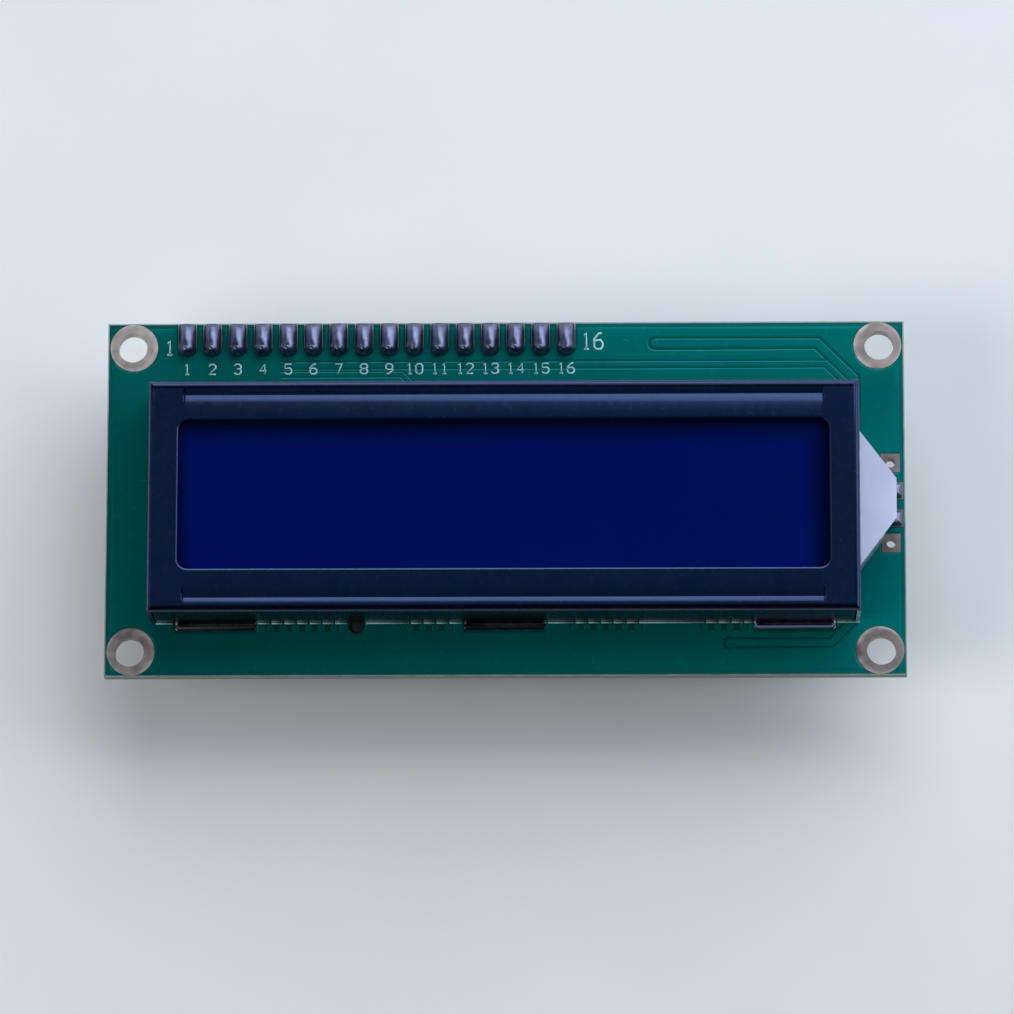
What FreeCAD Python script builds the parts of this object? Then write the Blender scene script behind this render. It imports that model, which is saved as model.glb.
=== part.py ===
import FreeCAD, Part
import math
import os

Vector = FreeCAD.Vector

# Character LCD module, in millimetres. X runs along the board, Y up the board towards the header,
# Z out of the display towards the viewer. The origin is the middle of the four screw holes, on the
# board's front face. The display, the bezel and the solder joints stand in front of the board. The
# header pins, the coated chips and the chip resistors hang behind it.

# Circuit board
board_length = 80.0
board_width = 36.0
board_thickness = 1.6
pad_thickness = 0.05

# Screw holes, with tinned rings that are printed slightly off the drilled holes
screw_from_edge = 2.5
screw_hole_radius = 1.5
ring_radius = 2.4
ring_shift = 0.15

# Header row along the top edge
pin_count = 16
pin_pitch = 2.54
first_pin_from_edge = 8.0
pin_row_from_edge = 2.5
pin_hole_radius = 0.5
pin_side = 0.64
pin_point = 0.16
pin_short_end = 3.0
pin_long_end = 6.0
strip_height = 2.54
strip_width = 2.5
strip_notch = 0.45

# Solder joints, each over an oblong pad that runs up to the board's edge
solder_width = 1.84
solder_from_edge = 0.3
solder_height = 1.15
solder_tip_width = 0.96
solder_tip_reach = 0.7
solder_flats = 8

# Bezel: one black steel sheet, stamped and folded
bezel_from_ends = 4.7
bezel_from_low_edge = 5.44
bezel_from_high_edge = 7.3
bezel_height = 6.9
sheet = 0.4
fold_radius = 0.65
corner_slit = 0.15
window_end_frame = 3.0
window_low_frame = 4.27
window_high_frame = 3.97
window_corner_radius = 1.0
window_edge_break = 0.12

# Two pressed grooves, which push the glass on to the connector strips
groove_from_end = 3.35
groove_width = 1.6
groove_depth = 0.4
groove_draft = 0.25
groove_back_offset = 0.15
groove_from_wall = 1.55

# Bezel tabs, their slots in the board, and the round locating hole beside them
tab_width = 7.8
tab_from_end = 2.5
tab_count = 3
tab_foot = 1.6
tab_corner = 0.6
tab_play = 0.05
slot_end_play = 0.2
slot_corner_radius = 0.4
slot_reach = 0.79
slot_inner_play = 0.06
locating_hole_radius = 0.75
locating_hole_from_end = 20.5
locating_hole_from_wall = 0.35

# Display cell and films, stacked from the board up to the grooves
glass_thickness = 1.1
glass_play_x = 0.4
glass_play_y = 0.25
glass_ledge = 2.25
glass_arris = 0.12
film_thickness = 0.2
front_film_overlap = 0.8
rear_film_inset = 0.4
rubber_width = 1.9
rubber_from_glass_end = 3.5
rubber_edge = 0.15

# Light guide with a neck that narrows to the LED
guide_play = 0.3
guide_shoulder_from_wall = 1.4
neck_end_from_edge = 1.0
neck_end_width = 3.96
neck_above_middle = 0.18
neck_film_thickness = 0.1
neck_opening_play = 0.4
neck_opening_radius = 0.5

# Side view LED, its terminals and solder
led_length = 3.8
led_depth = 1.15
led_height = 2.2
led_play = 0.05
led_cup_length = 3.0
led_cup_height = 1.4
led_cup_depth = 0.4
led_cup_draft = 0.25
led_edge = 0.12
led_terminal_width = 1.0
led_terminal_spacing = 2.8
led_terminal_sheet = 0.15
led_terminal_rise = 0.9
led_terminal_foot = 0.45
led_solder_height = 0.7
led_pad_length = 1.5
led_pad_width = 1.7
led_pad_past_foot = 0.2

# Square pads with open plated holes, for wires to the backlight
wire_pad_from_edge = 1.46
wire_pad_side = 1.9
wire_pad_spacing = 8.14
wire_pad_above_neck = 0.15
wire_hole_radius = 0.5

# Chips under round epoxy, on the back
epoxy_rise = 1.3
epoxy_shoulder = 2.6
epoxy_edge = 0.6
epoxy_edge_rise = 0.7
controller_epoxy_radius = 7.0
driver_epoxy_radius = 6.2
epoxy_spacing = 26.5
epoxy_beside_middle = -0.25

# Chip resistors and capacitors, on the back
chip_length = 2.0
chip_width = 1.25
chip_cap = 0.4
chip_cap_proud = 0.05
resistor_height = 0.5
capacitor_height = 0.95
resistor_column_from_end = 12.5
resistor_pitch = 2.4
resistor_count = 6
capacitor_column_from_end = 11.5
capacitor_pitch = 5.0
capacitor_count = 2

# Places worked out from the sizes above
board_right = board_length / 2
board_high = board_width / 2
back_face = -board_thickness
screw_x = board_right - screw_from_edge
screw_y = board_high - screw_from_edge
pin_row_y = board_high - pin_row_from_edge
pin_places = [first_pin_from_edge - board_right + pin_pitch * index for index in range(pin_count)]
strip_bottom = back_face - strip_height
pin_top = back_face + pin_short_end
pin_bottom = strip_bottom - pin_long_end

bezel_right = board_right - bezel_from_ends
bezel_low = bezel_from_low_edge - board_high
bezel_high = board_high - bezel_from_high_edge
bezel_middle = (bezel_low + bezel_high) / 2
bezel_underside = bezel_height - sheet
window_right = bezel_right - window_end_frame
window_low = bezel_low + window_low_frame
window_high = bezel_high - window_high_frame
groove_right = bezel_right - groove_from_end
groove_places = [bezel_low + groove_from_wall, bezel_high - groove_from_wall]
end_tab_x = bezel_right - tab_from_end - tab_width / 2
tab_places = [end_tab_x * (2 * index / (tab_count - 1) - 1) for index in range(tab_count)]

glass_top = bezel_underside - groove_depth
cell_middle = glass_top - glass_thickness
cell_bottom = cell_middle - glass_thickness
glass_right = bezel_right - sheet - glass_play_x
glass_low = bezel_low + sheet + glass_play_y
glass_high = bezel_high - sheet - glass_play_y
rear_low = glass_low + glass_ledge
rear_high = glass_high - glass_ledge
guide_bottom = film_thickness
guide_top = cell_bottom - 2 * film_thickness
guide_shoulder = bezel_right - guide_shoulder_from_wall
neck_end = board_right - neck_end_from_edge
neck_y = bezel_middle + neck_above_middle
neck_slope = (rear_high - rear_low - neck_end_width) / 2 / (neck_end - guide_shoulder)
led_front = neck_end - led_depth
wire_pad_x = board_right - wire_pad_from_edge


def box(x_low, x_high, y_low, y_high, z_low, z_high):
    return Part.makeBox(x_high - x_low, y_high - y_low, z_high - z_low, Vector(x_low, y_low, z_low))


def rounded_outline(x_low, x_high, y_low, y_high, radius, z):
    # A closed rectangle with four round corners. Sides that the arcs use up are left out.
    centres = [(x_high - radius, y_high - radius), (x_low + radius, y_high - radius),
               (x_low + radius, y_low + radius), (x_high - radius, y_low + radius)]
    arcs = []
    for quarter, (x, y) in enumerate(centres):
        start = quarter * math.pi / 2
        points = [Vector(x + radius * math.cos(start + turn), y + radius * math.sin(start + turn), z)
                  for turn in (0, math.pi / 4, math.pi / 2)]
        arcs.append(points)
    edges = []
    for index, points in enumerate(arcs):
        following = arcs[(index + 1) % 4][0]
        edges.append(Part.Arc(*points).toShape())
        if points[2].distanceToPoint(following) > 1e-6:
            edges.append(Part.LineSegment(points[2], following).toShape())
    return Part.Wire(edges)


def rounded_plate(x_low, x_high, y_low, y_high, radius, z_low, z_high):
    outline = rounded_outline(x_low, x_high, y_low, y_high, radius, z_low)
    return Part.Face(outline).extrude(Vector(0, 0, z_high - z_low))


def flat_face(points):
    return Part.Face(Part.makePolygon(points + points[:1]))


def polygon_plate(points, z_low, z_high):
    return flat_face([Vector(x, y, z_low) for x, y in points]).extrude(Vector(0, 0, z_high - z_low))


def drill(x, y, radius, z_low, z_high):
    return Part.makeCylinder(radius, z_high - z_low, Vector(x, y, z_low))


def flat_sided(first, second):
    # A solid with flat faces between two outlines that have as many corners
    count = len(first)
    faces = [flat_face(first), flat_face(second)]
    for index in range(count):
        following = (index + 1) % count
        faces.append(flat_face([first[index], first[following], second[following], second[index]]))
    return Part.makeSolid(Part.makeShell(faces))


def rectangle(x_low, x_high, y_low, y_high, z):
    return [Vector(x_low, y_low, z), Vector(x_high, y_low, z), Vector(x_high, y_high, z),
            Vector(x_low, y_high, z)]


def edges_where(shape, test):
    return [edge for edge in shape.Edges if test(edge.BoundBox)]


def joined(solids):
    return solids[0].fuse(solids[1:]).removeSplitter()


def screw_places():
    return [(side_x * screw_x, side_y * screw_y, side_x) for side_y in (1, -1) for side_x in (-1, 1)]


def wire_places():
    return [neck_y + wire_pad_above_neck + side * wire_pad_spacing / 2 for side in (1, -1)]


def tab_walls():
    # The bottom wall and the top wall of the bezel, each with the way that faces out of it
    return [(bezel_low, -1), (bezel_high, 1)]


def circuit_board():
    board = box(-board_right, board_right, -board_high, board_high, back_face, 0)
    holes = [drill(x, y, screw_hole_radius, back_face, 0) for x, y, side in screw_places()]
    holes += [drill(x, pin_row_y, pin_hole_radius, back_face, 0) for x in pin_places]
    holes += [drill(wire_pad_x, y, wire_hole_radius, back_face, 0) for y in wire_places()]
    holes.append(drill(locating_hole_from_end - bezel_right, bezel_low - locating_hole_from_wall,
                       locating_hole_radius, back_face, 0))
    for wall, outward in tab_walls():
        inner = wall - outward * (sheet + slot_inner_play)
        outer = wall + outward * slot_reach
        low, high = min(inner, outer), max(inner, outer)
        for x in tab_places:
            half = tab_width / 2 + slot_end_play
            holes.append(rounded_plate(x - half, x + half, low, high, slot_corner_radius, back_face, 0))
    return board.cut(holes)


def mounting_pads():
    rings = []
    for x, y, side in screw_places():
        ring = drill(x - side * ring_shift, y, ring_radius, 0, pad_thickness)
        rings.append(ring.cut(drill(x, y, screw_hole_radius, 0, pad_thickness)))
    return Part.makeCompound(rings)


def backlight_pads():
    pads = []
    half = wire_pad_side / 2
    for y in wire_places():
        pad = box(wire_pad_x - half, wire_pad_x + half, y - half, y + half, 0, pad_thickness)
        pads.append(pad.cut(drill(wire_pad_x, y, wire_hole_radius, 0, pad_thickness)))
    for y in led_terminal_places():
        pads.append(box(neck_end + led_pad_reach() - led_pad_length, neck_end + led_pad_reach(),
                        y - led_pad_width / 2, y + led_pad_width / 2, 0, pad_thickness))
    return Part.makeCompound(pads)


def square_pin(x):
    half = pin_side / 2
    pin = box(x - half, x + half, pin_row_y - half, pin_row_y + half, pin_bottom, pin_top)
    ends = edges_where(pin, lambda b: b.ZMin > pin_top - 1e-6 or b.ZMax < pin_bottom + 1e-6)
    return pin.makeChamfer(pin_point, ends)


def header_strip():
    # One moulded bar, notched between the pins where it can be snapped
    half = strip_width / 2
    low_side, high_side = [], []
    for x in pin_places:
        left, right = x - pin_pitch / 2, x + pin_pitch / 2
        low_side += [(left, pin_row_y - half + strip_notch), (left + strip_notch, pin_row_y - half),
                     (right - strip_notch, pin_row_y - half), (right, pin_row_y - half + strip_notch)]
        high_side += [(left, pin_row_y + half - strip_notch), (left + strip_notch, pin_row_y + half),
                      (right - strip_notch, pin_row_y + half), (right, pin_row_y + half - strip_notch)]
    outline = []
    for point in low_side + high_side[::-1]:
        if not outline or math.dist(point, outline[-1]) > 1e-6:
            outline.append(point)
    bar = polygon_plate(outline, strip_bottom, back_face)
    return bar.cut([square_pin(x) for x in pin_places])


def tongue_outline(x, half_width, high, z):
    # Straight sides with a square upper end, and small flats round the pin's lower side
    points = [Vector(x - half_width, high, z), Vector(x + half_width, high, z)]
    for step in range(solder_flats + 1):
        turn = math.pi * step / solder_flats
        points.append(Vector(x + half_width * math.cos(turn), pin_row_y - half_width * math.sin(turn), z))
    return points


def header_solder():
    # Each joint climbs gently from the board's edge to the pin, and falls steeply below it
    joints = []
    for x in pin_places:
        foot = tongue_outline(x, solder_width / 2, board_high - solder_from_edge, 0)
        tip = tongue_outline(x, solder_tip_width / 2, pin_row_y + solder_tip_reach, solder_height)
        joints.append(flat_sided(foot, tip).cut(square_pin(x)))
    return Part.makeCompound(joints)


def folded_shell():
    outside = box(-bezel_right, bezel_right, bezel_low, bezel_high, 0, bezel_height)
    outside = outside.makeFillet(fold_radius, edges_where(outside, lambda b: b.ZMin > bezel_height - 1e-6))
    inside = box(sheet - bezel_right, bezel_right - sheet, bezel_low + sheet, bezel_high - sheet,
                 0, bezel_underside)
    inside = inside.makeFillet(fold_radius - sheet,
                               edges_where(inside, lambda b: b.ZMin > bezel_underside - 1e-6))
    return outside.cut(inside)


def groove_form(y, half_width, z_top):
    # The long half-round-ended form of a pressed groove, narrower at its floor
    floor = half_width - groove_draft
    z_floor = z_top - groove_depth
    end = groove_right - groove_width / 2
    ends = [Part.makeCone(floor, half_width, groove_depth, Vector(x, y, z_floor)) for x in (-end, end)]
    run = flat_sided(rectangle(-end, end, y - floor, y + floor, z_floor),
                     rectangle(-end, end, y - half_width, y + half_width, z_top))
    return joined([run] + ends)


def window_hole():
    return rounded_plate(-window_right, window_right, window_low, window_high, window_corner_radius,
                         bezel_underside, bezel_height)


def neck_opening():
    # The right wall is open round the neck of the light guide
    half = neck_half_width(bezel_right - sheet) + neck_opening_play
    top = guide_top + neck_film_thickness + neck_opening_play / 2
    opening = box(bezel_right - sheet, bezel_right, neck_y - half, neck_y + half, 0, top)
    corners = edges_where(opening, lambda b: b.ZMin > top - 1e-6 and b.XLength > sheet / 2)
    return opening.makeFillet(neck_opening_radius, corners)


def corner_slits():
    # The long walls stop just short of the side walls, whose cut ends show
    slits = []
    for wall, outward in tab_walls():
        inner = wall - outward * sheet
        for side in (-1, 1):
            edge = side * (bezel_right - sheet)
            start = edge - side * corner_slit
            slits.append(box(min(edge, start), max(edge, start), min(wall, inner), max(wall, inner),
                             0, bezel_height - fold_radius))
    return slits


def bezel_tab(x, wall, outward):
    # Down through the slot, round under the board and flat along its back
    bend = slot_reach + tab_play
    bend_z = back_face - tab_play + bend
    bend_y = wall + outward * bend
    end_y = bend_y + outward * tab_foot
    start_z = fold_radius
    left = x - tab_width / 2

    def at(y, z):
        return Vector(left, y, z)

    def quarter(radius):
        points = [at(bend_y - outward * radius * math.cos(turn), bend_z - radius * math.sin(turn))
                  for turn in (0, math.pi / 4, math.pi / 2)]
        return points

    near, far = quarter(bend), quarter(bend + sheet)
    profile = [Part.LineSegment(at(wall, start_z), near[0]).toShape(), Part.Arc(*near).toShape(),
               Part.LineSegment(near[2], at(end_y, near[2].z)).toShape(),
               Part.LineSegment(at(end_y, near[2].z), at(end_y, far[2].z)).toShape(),
               Part.LineSegment(at(end_y, far[2].z), far[2]).toShape(), Part.Arc(*far).toShape(),
               Part.LineSegment(far[0], at(wall - outward * sheet, start_z)).toShape(),
               Part.LineSegment(at(wall - outward * sheet, start_z), at(wall, start_z)).toShape()]
    tab = Part.Face(Part.Wire(Part.__sortEdges__(profile))).extrude(Vector(tab_width, 0, 0))
    ends = edges_where(tab, lambda b: b.YLength < 1e-6 and b.XLength < 1e-6
                       and abs(b.YMin - end_y) < 1e-6)
    return tab.makeChamfer(tab_corner, ends)


def bezel():
    shell = folded_shell()
    backs = [groove_form(y, groove_width / 2 + groove_back_offset, bezel_underside)
             for y in groove_places]
    fronts = [groove_form(y, groove_width / 2, bezel_height) for y in groove_places]
    shell = shell.fuse(backs).cut(fronts + [window_hole()])
    rim = edges_where(shell, lambda b: b.ZMin > bezel_height - 1e-6
                      and b.XMin > -window_right - 1e-3 and b.XMax < window_right + 1e-3
                      and b.YMin > window_low - 1e-3 and b.YMax < window_high + 1e-3)
    shell = shell.makeChamfer(window_edge_break, rim)
    shell = shell.cut(corner_slits() + [neck_opening()])
    tabs = [bezel_tab(x, wall, outward) for wall, outward in tab_walls() for x in tab_places]
    return joined([shell] + tabs)


def arrised_pane(x_low, x_high, y_low, y_high, z_low, z_high):
    pane = box(x_low, x_high, y_low, y_high, z_low, z_high)
    return pane.makeChamfer(glass_arris, pane.Edges)


def front_glass():
    return arrised_pane(-glass_right, glass_right, glass_low, glass_high, cell_middle, glass_top)


def rear_glass():
    return arrised_pane(-glass_right, glass_right, rear_low, rear_high, cell_bottom, cell_middle)


def front_polariser():
    end = window_right + front_film_overlap
    return box(-end, end, window_low - front_film_overlap, window_high + front_film_overlap,
               glass_top, glass_top + film_thickness)


def rear_film(z_low):
    return box(rear_film_inset - glass_right, guide_shoulder, rear_low + rear_film_inset,
               rear_high - rear_film_inset, z_low, z_low + film_thickness)


def neck_half_width(x):
    # Half the width of the light guide's outline at x, in the part that narrows to the LED
    return neck_end_width / 2 + neck_slope * (neck_end - x)


def guide_outline(x_end):
    # The guide lies between the connector strips and its neck runs out to the right
    left = guide_play - glass_right
    low, high = rear_low + guide_play / 2, rear_high - guide_play / 2
    half_end = neck_half_width(x_end)
    shoulder_low = neck_end - (neck_y - low - neck_end_width / 2) / neck_slope
    shoulder_high = neck_end - (high - neck_y - neck_end_width / 2) / neck_slope
    return [(left, low), (shoulder_low, low), (x_end, neck_y - half_end),
            (x_end, neck_y + half_end), (shoulder_high, high), (left, high)]


def light_guide():
    return polygon_plate(guide_outline(led_front - led_play), guide_bottom, guide_top)


def reflector_film():
    # The film stops short of the square pads beside the neck
    film_end = wire_pad_x - wire_pad_side / 2 - guide_play
    return polygon_plate(guide_outline(film_end), 0, guide_bottom)


def neck_film():
    start = guide_shoulder + guide_play
    half_start, half_end = neck_half_width(start), neck_half_width(neck_end)
    points = [(start, neck_y - half_start), (neck_end, neck_y - half_end),
              (neck_end, neck_y + half_end), (start, neck_y + half_start)]
    return polygon_plate(points, guide_top, guide_top + neck_film_thickness)


def connector_strip(y):
    end = glass_right - rubber_from_glass_end
    strip = box(-end, end, y - rubber_width / 2, y + rubber_width / 2, 0, cell_middle)
    long_edges = edges_where(strip, lambda b: b.XLength > end)
    return strip.makeChamfer(rubber_edge, long_edges)


def led_terminal_places():
    return [neck_y + side * led_terminal_spacing / 2 for side in (1, -1)]


def led_pad_reach():
    # How far the pads of the LED reach past its body
    return led_terminal_sheet + led_terminal_foot + led_pad_past_foot


def led_cup():
    # The open cup that faces the light guide, narrower at its floor
    half_y, half_z = led_cup_length / 2, led_cup_height / 2
    middle_z = pad_thickness + led_height / 2
    sections = []
    for x, inset in ((led_front, 0), (led_front + led_cup_depth, led_cup_draft)):
        sections.append([Vector(x, neck_y + way_y * (half_y - inset), middle_z + way_z * (half_z - inset))
                         for way_y, way_z in ((-1, -1), (1, -1), (1, 1), (-1, 1))])
    return flat_sided(*sections)


def backlight_led():
    body = box(led_front, neck_end, neck_y - led_length / 2, neck_y + led_length / 2,
               pad_thickness, pad_thickness + led_height)
    rims = edges_where(body, lambda b: b.XLength > led_depth / 2)
    return body.makeChamfer(led_edge, rims).cut(led_cup())


def led_phosphor():
    return led_cup()


def led_terminals():
    # Each terminal comes down the back of the body and turns out over its pad
    terminals = []
    back = neck_end
    for y in led_terminal_places():
        low, high = y - led_terminal_width / 2, y + led_terminal_width / 2
        rise = box(back, back + led_terminal_sheet, low, high, pad_thickness,
                   pad_thickness + led_terminal_rise)
        foot = box(back, back + led_terminal_sheet + led_terminal_foot, low, high, pad_thickness,
                   pad_thickness + led_terminal_sheet)
        bent = joined([rise, foot])
        heel = edges_where(bent, lambda b: b.YLength > led_terminal_width / 2
                           and abs(b.XMin - back - led_terminal_sheet) < 1e-6
                           and abs(b.ZMin - pad_thickness - led_terminal_sheet) < 1e-6)
        terminals.append(bent.makeChamfer(led_terminal_sheet, heel))
    return Part.makeCompound(terminals)


def led_solder():
    # A fillet of solder over each foot, highest against the rise
    fillets = []
    foot_end = neck_end + led_pad_reach() - led_play
    wall = neck_end + led_terminal_sheet
    for y in led_terminal_places():
        low = y - led_pad_width / 2 + led_play
        corner = Vector(wall, low, pad_thickness)
        top = Vector(wall, low, pad_thickness + led_solder_height)
        toe = Vector(foot_end, low, pad_thickness)
        hollow = Vector((wall * 2 + foot_end) / 3, low, pad_thickness + led_solder_height / 2.5)
        side = flat_face([corner, top, hollow, toe])
        fillets.append(side.extrude(Vector(0, led_pad_width - 2 * led_play, 0)))
    return Part.makeCompound(fillets).cut(led_terminals())


def epoxy_dome(x, radius):
    # A flat crown inside two sloping shoulders, the outer one steeper
    def at(reach, rise):
        return Vector(x + reach, bezel_middle, back_face - rise)

    profile = [at(0, 0), at(0, epoxy_rise), at(radius - epoxy_shoulder, epoxy_rise),
               at(radius - epoxy_edge, epoxy_edge_rise), at(radius, 0)]
    return flat_face(profile).revolve(at(0, 0), Vector(0, 0, 1), 360)


def chip_part(x, y, height):
    # A ceramic body between two metal end caps that stand slightly proud all round
    half_x, half_y = chip_length / 2, chip_width / 2
    pieces = [box(x - half_x + chip_cap, x + half_x - chip_cap, y - half_y, y + half_y,
                  back_face - height, back_face)]
    for side in (-1, 1):
        outer, inner = x + side * half_x, x + side * (half_x - chip_cap)
        pieces.append(box(min(outer, inner), max(outer, inner), y - half_y - chip_cap_proud,
                          y + half_y + chip_cap_proud, back_face - height - chip_cap_proud, back_face))
    return joined(pieces)


def column_places(pitch, count):
    return [bezel_middle + pitch * (index - (count - 1) / 2) for index in range(count)]


def all_nodes():
    nodes = {
        "circuit_board": circuit_board(),
        "mounting_pads": mounting_pads(),
        "backlight_pads": backlight_pads(),
        "header_strip": header_strip(),
        "header_solder": header_solder(),
        "bezel": bezel(),
        "front_polariser": front_polariser(),
        "front_glass": front_glass(),
        "rear_glass": rear_glass(),
        "rear_polariser": rear_film(cell_bottom - film_thickness),
        "diffuser_film": rear_film(guide_top),
        "light_guide": light_guide(),
        "reflector_film": reflector_film(),
        "neck_film": neck_film(),
        "lower_connector_strip": connector_strip(groove_places[0]),
        "upper_connector_strip": connector_strip(groove_places[1]),
        "backlight_led": backlight_led(),
        "led_phosphor": led_phosphor(),
        "led_terminals": led_terminals(),
        "led_solder": led_solder(),
        "controller_epoxy": epoxy_dome(epoxy_beside_middle - epoxy_spacing / 2, controller_epoxy_radius),
        "driver_epoxy": epoxy_dome(epoxy_beside_middle + epoxy_spacing / 2, driver_epoxy_radius),
    }
    for number, x in enumerate(pin_places, 1):
        nodes["header_pin_%02d" % number] = square_pin(x)
    resistor_x = board_right - resistor_column_from_end
    for number, y in enumerate(column_places(resistor_pitch, resistor_count), 1):
        nodes["chip_resistor_%d" % number] = chip_part(resistor_x, y, resistor_height)
    capacitor_x = capacitor_column_from_end - board_right
    for number, y in enumerate(column_places(capacitor_pitch, capacitor_count), 1):
        nodes["chip_capacitor_%d" % number] = chip_part(capacitor_x, y, capacitor_height)
    return nodes


os.makedirs("parts", exist_ok=True)
for name, shape in all_nodes().items():
    shape.exportStep("parts/%s.step" % name)
    print(name, "solids", len(shape.Solids), "volume %.2f" % shape.Volume, "valid", shape.isValid())
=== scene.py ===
import math
import random
from contextlib import contextmanager
import bpy
from mathutils import Matrix, Vector, noise


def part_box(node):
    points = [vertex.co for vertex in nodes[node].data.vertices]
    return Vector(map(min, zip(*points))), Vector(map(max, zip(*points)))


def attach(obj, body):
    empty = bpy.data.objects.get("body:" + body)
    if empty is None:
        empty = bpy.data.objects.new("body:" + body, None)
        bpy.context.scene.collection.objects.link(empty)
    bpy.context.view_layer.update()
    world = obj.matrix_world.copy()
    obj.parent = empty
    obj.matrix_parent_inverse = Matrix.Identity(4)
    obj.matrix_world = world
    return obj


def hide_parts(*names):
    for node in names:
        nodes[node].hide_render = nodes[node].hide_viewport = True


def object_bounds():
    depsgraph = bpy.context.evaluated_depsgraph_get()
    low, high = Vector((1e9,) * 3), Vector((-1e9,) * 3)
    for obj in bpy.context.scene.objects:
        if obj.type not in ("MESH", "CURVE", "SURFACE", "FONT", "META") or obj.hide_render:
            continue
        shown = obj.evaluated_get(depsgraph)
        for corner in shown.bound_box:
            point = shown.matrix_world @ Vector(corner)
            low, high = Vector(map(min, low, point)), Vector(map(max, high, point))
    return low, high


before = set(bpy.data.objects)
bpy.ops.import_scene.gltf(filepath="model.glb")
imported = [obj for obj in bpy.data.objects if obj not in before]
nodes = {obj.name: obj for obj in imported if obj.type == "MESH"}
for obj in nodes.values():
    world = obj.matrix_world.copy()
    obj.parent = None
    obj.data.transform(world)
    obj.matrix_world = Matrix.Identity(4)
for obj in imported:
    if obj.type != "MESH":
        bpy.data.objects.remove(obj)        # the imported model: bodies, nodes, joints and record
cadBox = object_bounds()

mm = 0.001
noise.seed_set(16)       # otherwise the clock seeds it and each run ripples differently
boardLow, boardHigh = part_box("circuit_board")
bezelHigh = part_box("bezel")[1]
print("frame loaded,", len(nodes), "nodes")


# selecting, placing and joining, as one would by hand

def only(piece):
    bpy.ops.object.select_all(action="DESELECT")
    piece.select_set(True)
    bpy.context.view_layer.objects.active = piece


def bakePlace(piece):
    only(piece)
    bpy.ops.object.transform_apply(location=True, rotation=True, scale=True)


def joinPieces(parts):
    bpy.ops.object.select_all(action="DESELECT")
    for part in parts:
        part.select_set(True)
    bpy.context.view_layer.objects.active = parts[0]
    if len(parts) > 1:
        bpy.ops.object.join()
    return bpy.context.view_layer.objects.active


def remove(piece):
    bpy.data.objects.remove(piece)


def applyAll(piece):
    only(piece)
    for modifier in list(piece.modifiers):
        bpy.ops.object.modifier_apply(modifier=modifier.name)


def smoothBy(piece, degrees):
    only(piece)
    bpy.ops.object.shade_smooth_by_angle(angle=math.radians(degrees))


@contextmanager
def editing(piece, everything=False):
    # the lines under it work on the piece in edit mode
    only(piece)
    bpy.ops.object.mode_set(mode="EDIT")
    if everything:
        bpy.ops.mesh.select_all(action="SELECT")
    yield
    bpy.ops.object.mode_set(mode="OBJECT")


def extrude(x, y, z):
    bpy.ops.mesh.extrude_region_move(TRANSFORM_OT_translate={"value": (x, y, z)})


def resize(x, y, z, around):
    bpy.ops.transform.resize(value=(x, y, z), center_override=around)


def mendNormals(piece):
    with editing(piece, True):
        bpy.ops.mesh.remove_doubles(threshold=1e-6)
        bpy.ops.mesh.normals_make_consistent(inside=False)


def deselectMesh(mesh):
    for group in (mesh.vertices, mesh.edges, mesh.polygons):
        for item in group:
            item.select = False


def selectEdges(piece, test):
    # the edges whose two ends pass the test, for the next operator in edit mode
    mesh = piece.data
    deselectMesh(mesh)
    for edge in mesh.edges:
        edge.select = test(*(mesh.vertices[i].co for i in edge.vertices))


def selectFaces(piece, test):
    # the faces whose normal passes the test
    deselectMesh(piece.data)
    for face in piece.data.polygons:
        face.select = test(face.normal)


def fit(piece, name, material, slotName, *stoodFor):
    # the piece gets its name and finish, and rides with the board
    piece.name = name
    piece.data.name = name
    dress(piece, material)
    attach(piece, "root")
    if stoodFor:
        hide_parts(*stoodFor)


def dress(piece, material):
    piece.data.materials.clear()
    piece.data.materials.append(material)


# primitives at their size and place

def addBlock(low, high):
    middle = [(a + b) / 2 for a, b in zip(low, high)]
    size = [b - a for a, b in zip(low, high)]
    bpy.ops.mesh.primitive_cube_add(size=1, location=middle)
    block = bpy.context.object
    block.scale = size
    bakePlace(block)
    return block


def addDrum(x, y, low, high, radius, sides=32):
    bpy.ops.mesh.primitive_cylinder_add(
        vertices=sides, radius=radius, depth=high - low, location=(x, y, (low + high) / 2))
    drum = bpy.context.object
    bakePlace(drum)
    return drum


def addDisc(x, y, z, radius, sides):
    bpy.ops.mesh.primitive_circle_add(vertices=sides, radius=radius, fill_type="NGON",
                                      location=(x, y, z))
    disc = bpy.context.object
    bakePlace(disc)
    return disc


def addRing(x, y, low, high, outer, inner, sides=48):
    # a flat washer: a disc is inset, its middle taken out and the rest given its thickness
    ring = addDisc(x, y, low, outer, sides)
    with editing(ring, True):
        bpy.ops.mesh.inset(thickness=outer - inner)
        bpy.ops.mesh.delete(type="FACE")
        bpy.ops.mesh.select_all(action="SELECT")
        extrude(0, 0, high - low)
        bpy.ops.mesh.select_all(action="SELECT")
        bpy.ops.mesh.normals_make_consistent(inside=False)
    return ring


def stripProfile(width, inner, outer, flare):
    # the cross-section of a line on the board, wider by the flare where it meets the board
    half = width / 2
    corners = ((-half - flare, inner), (half + flare, inner), (half, outer), (-half, outer))
    shape = bpy.data.curves.new("profile", "CURVE")
    shape.dimensions = "2D"
    shape.fill_mode = "NONE"
    addSpline(shape, corners, True)
    holder = bpy.data.objects.new("profile", shape)
    bpy.context.collection.objects.link(holder)
    return holder


def addSpline(shape, points, closed):
    line = shape.splines.new("POLY")
    line.points.add(len(points) - 1)
    for point, (x, y) in zip(line.points, points):
        point.co = (x, y, 0, 1)
    line.use_cyclic_u = closed


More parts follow.
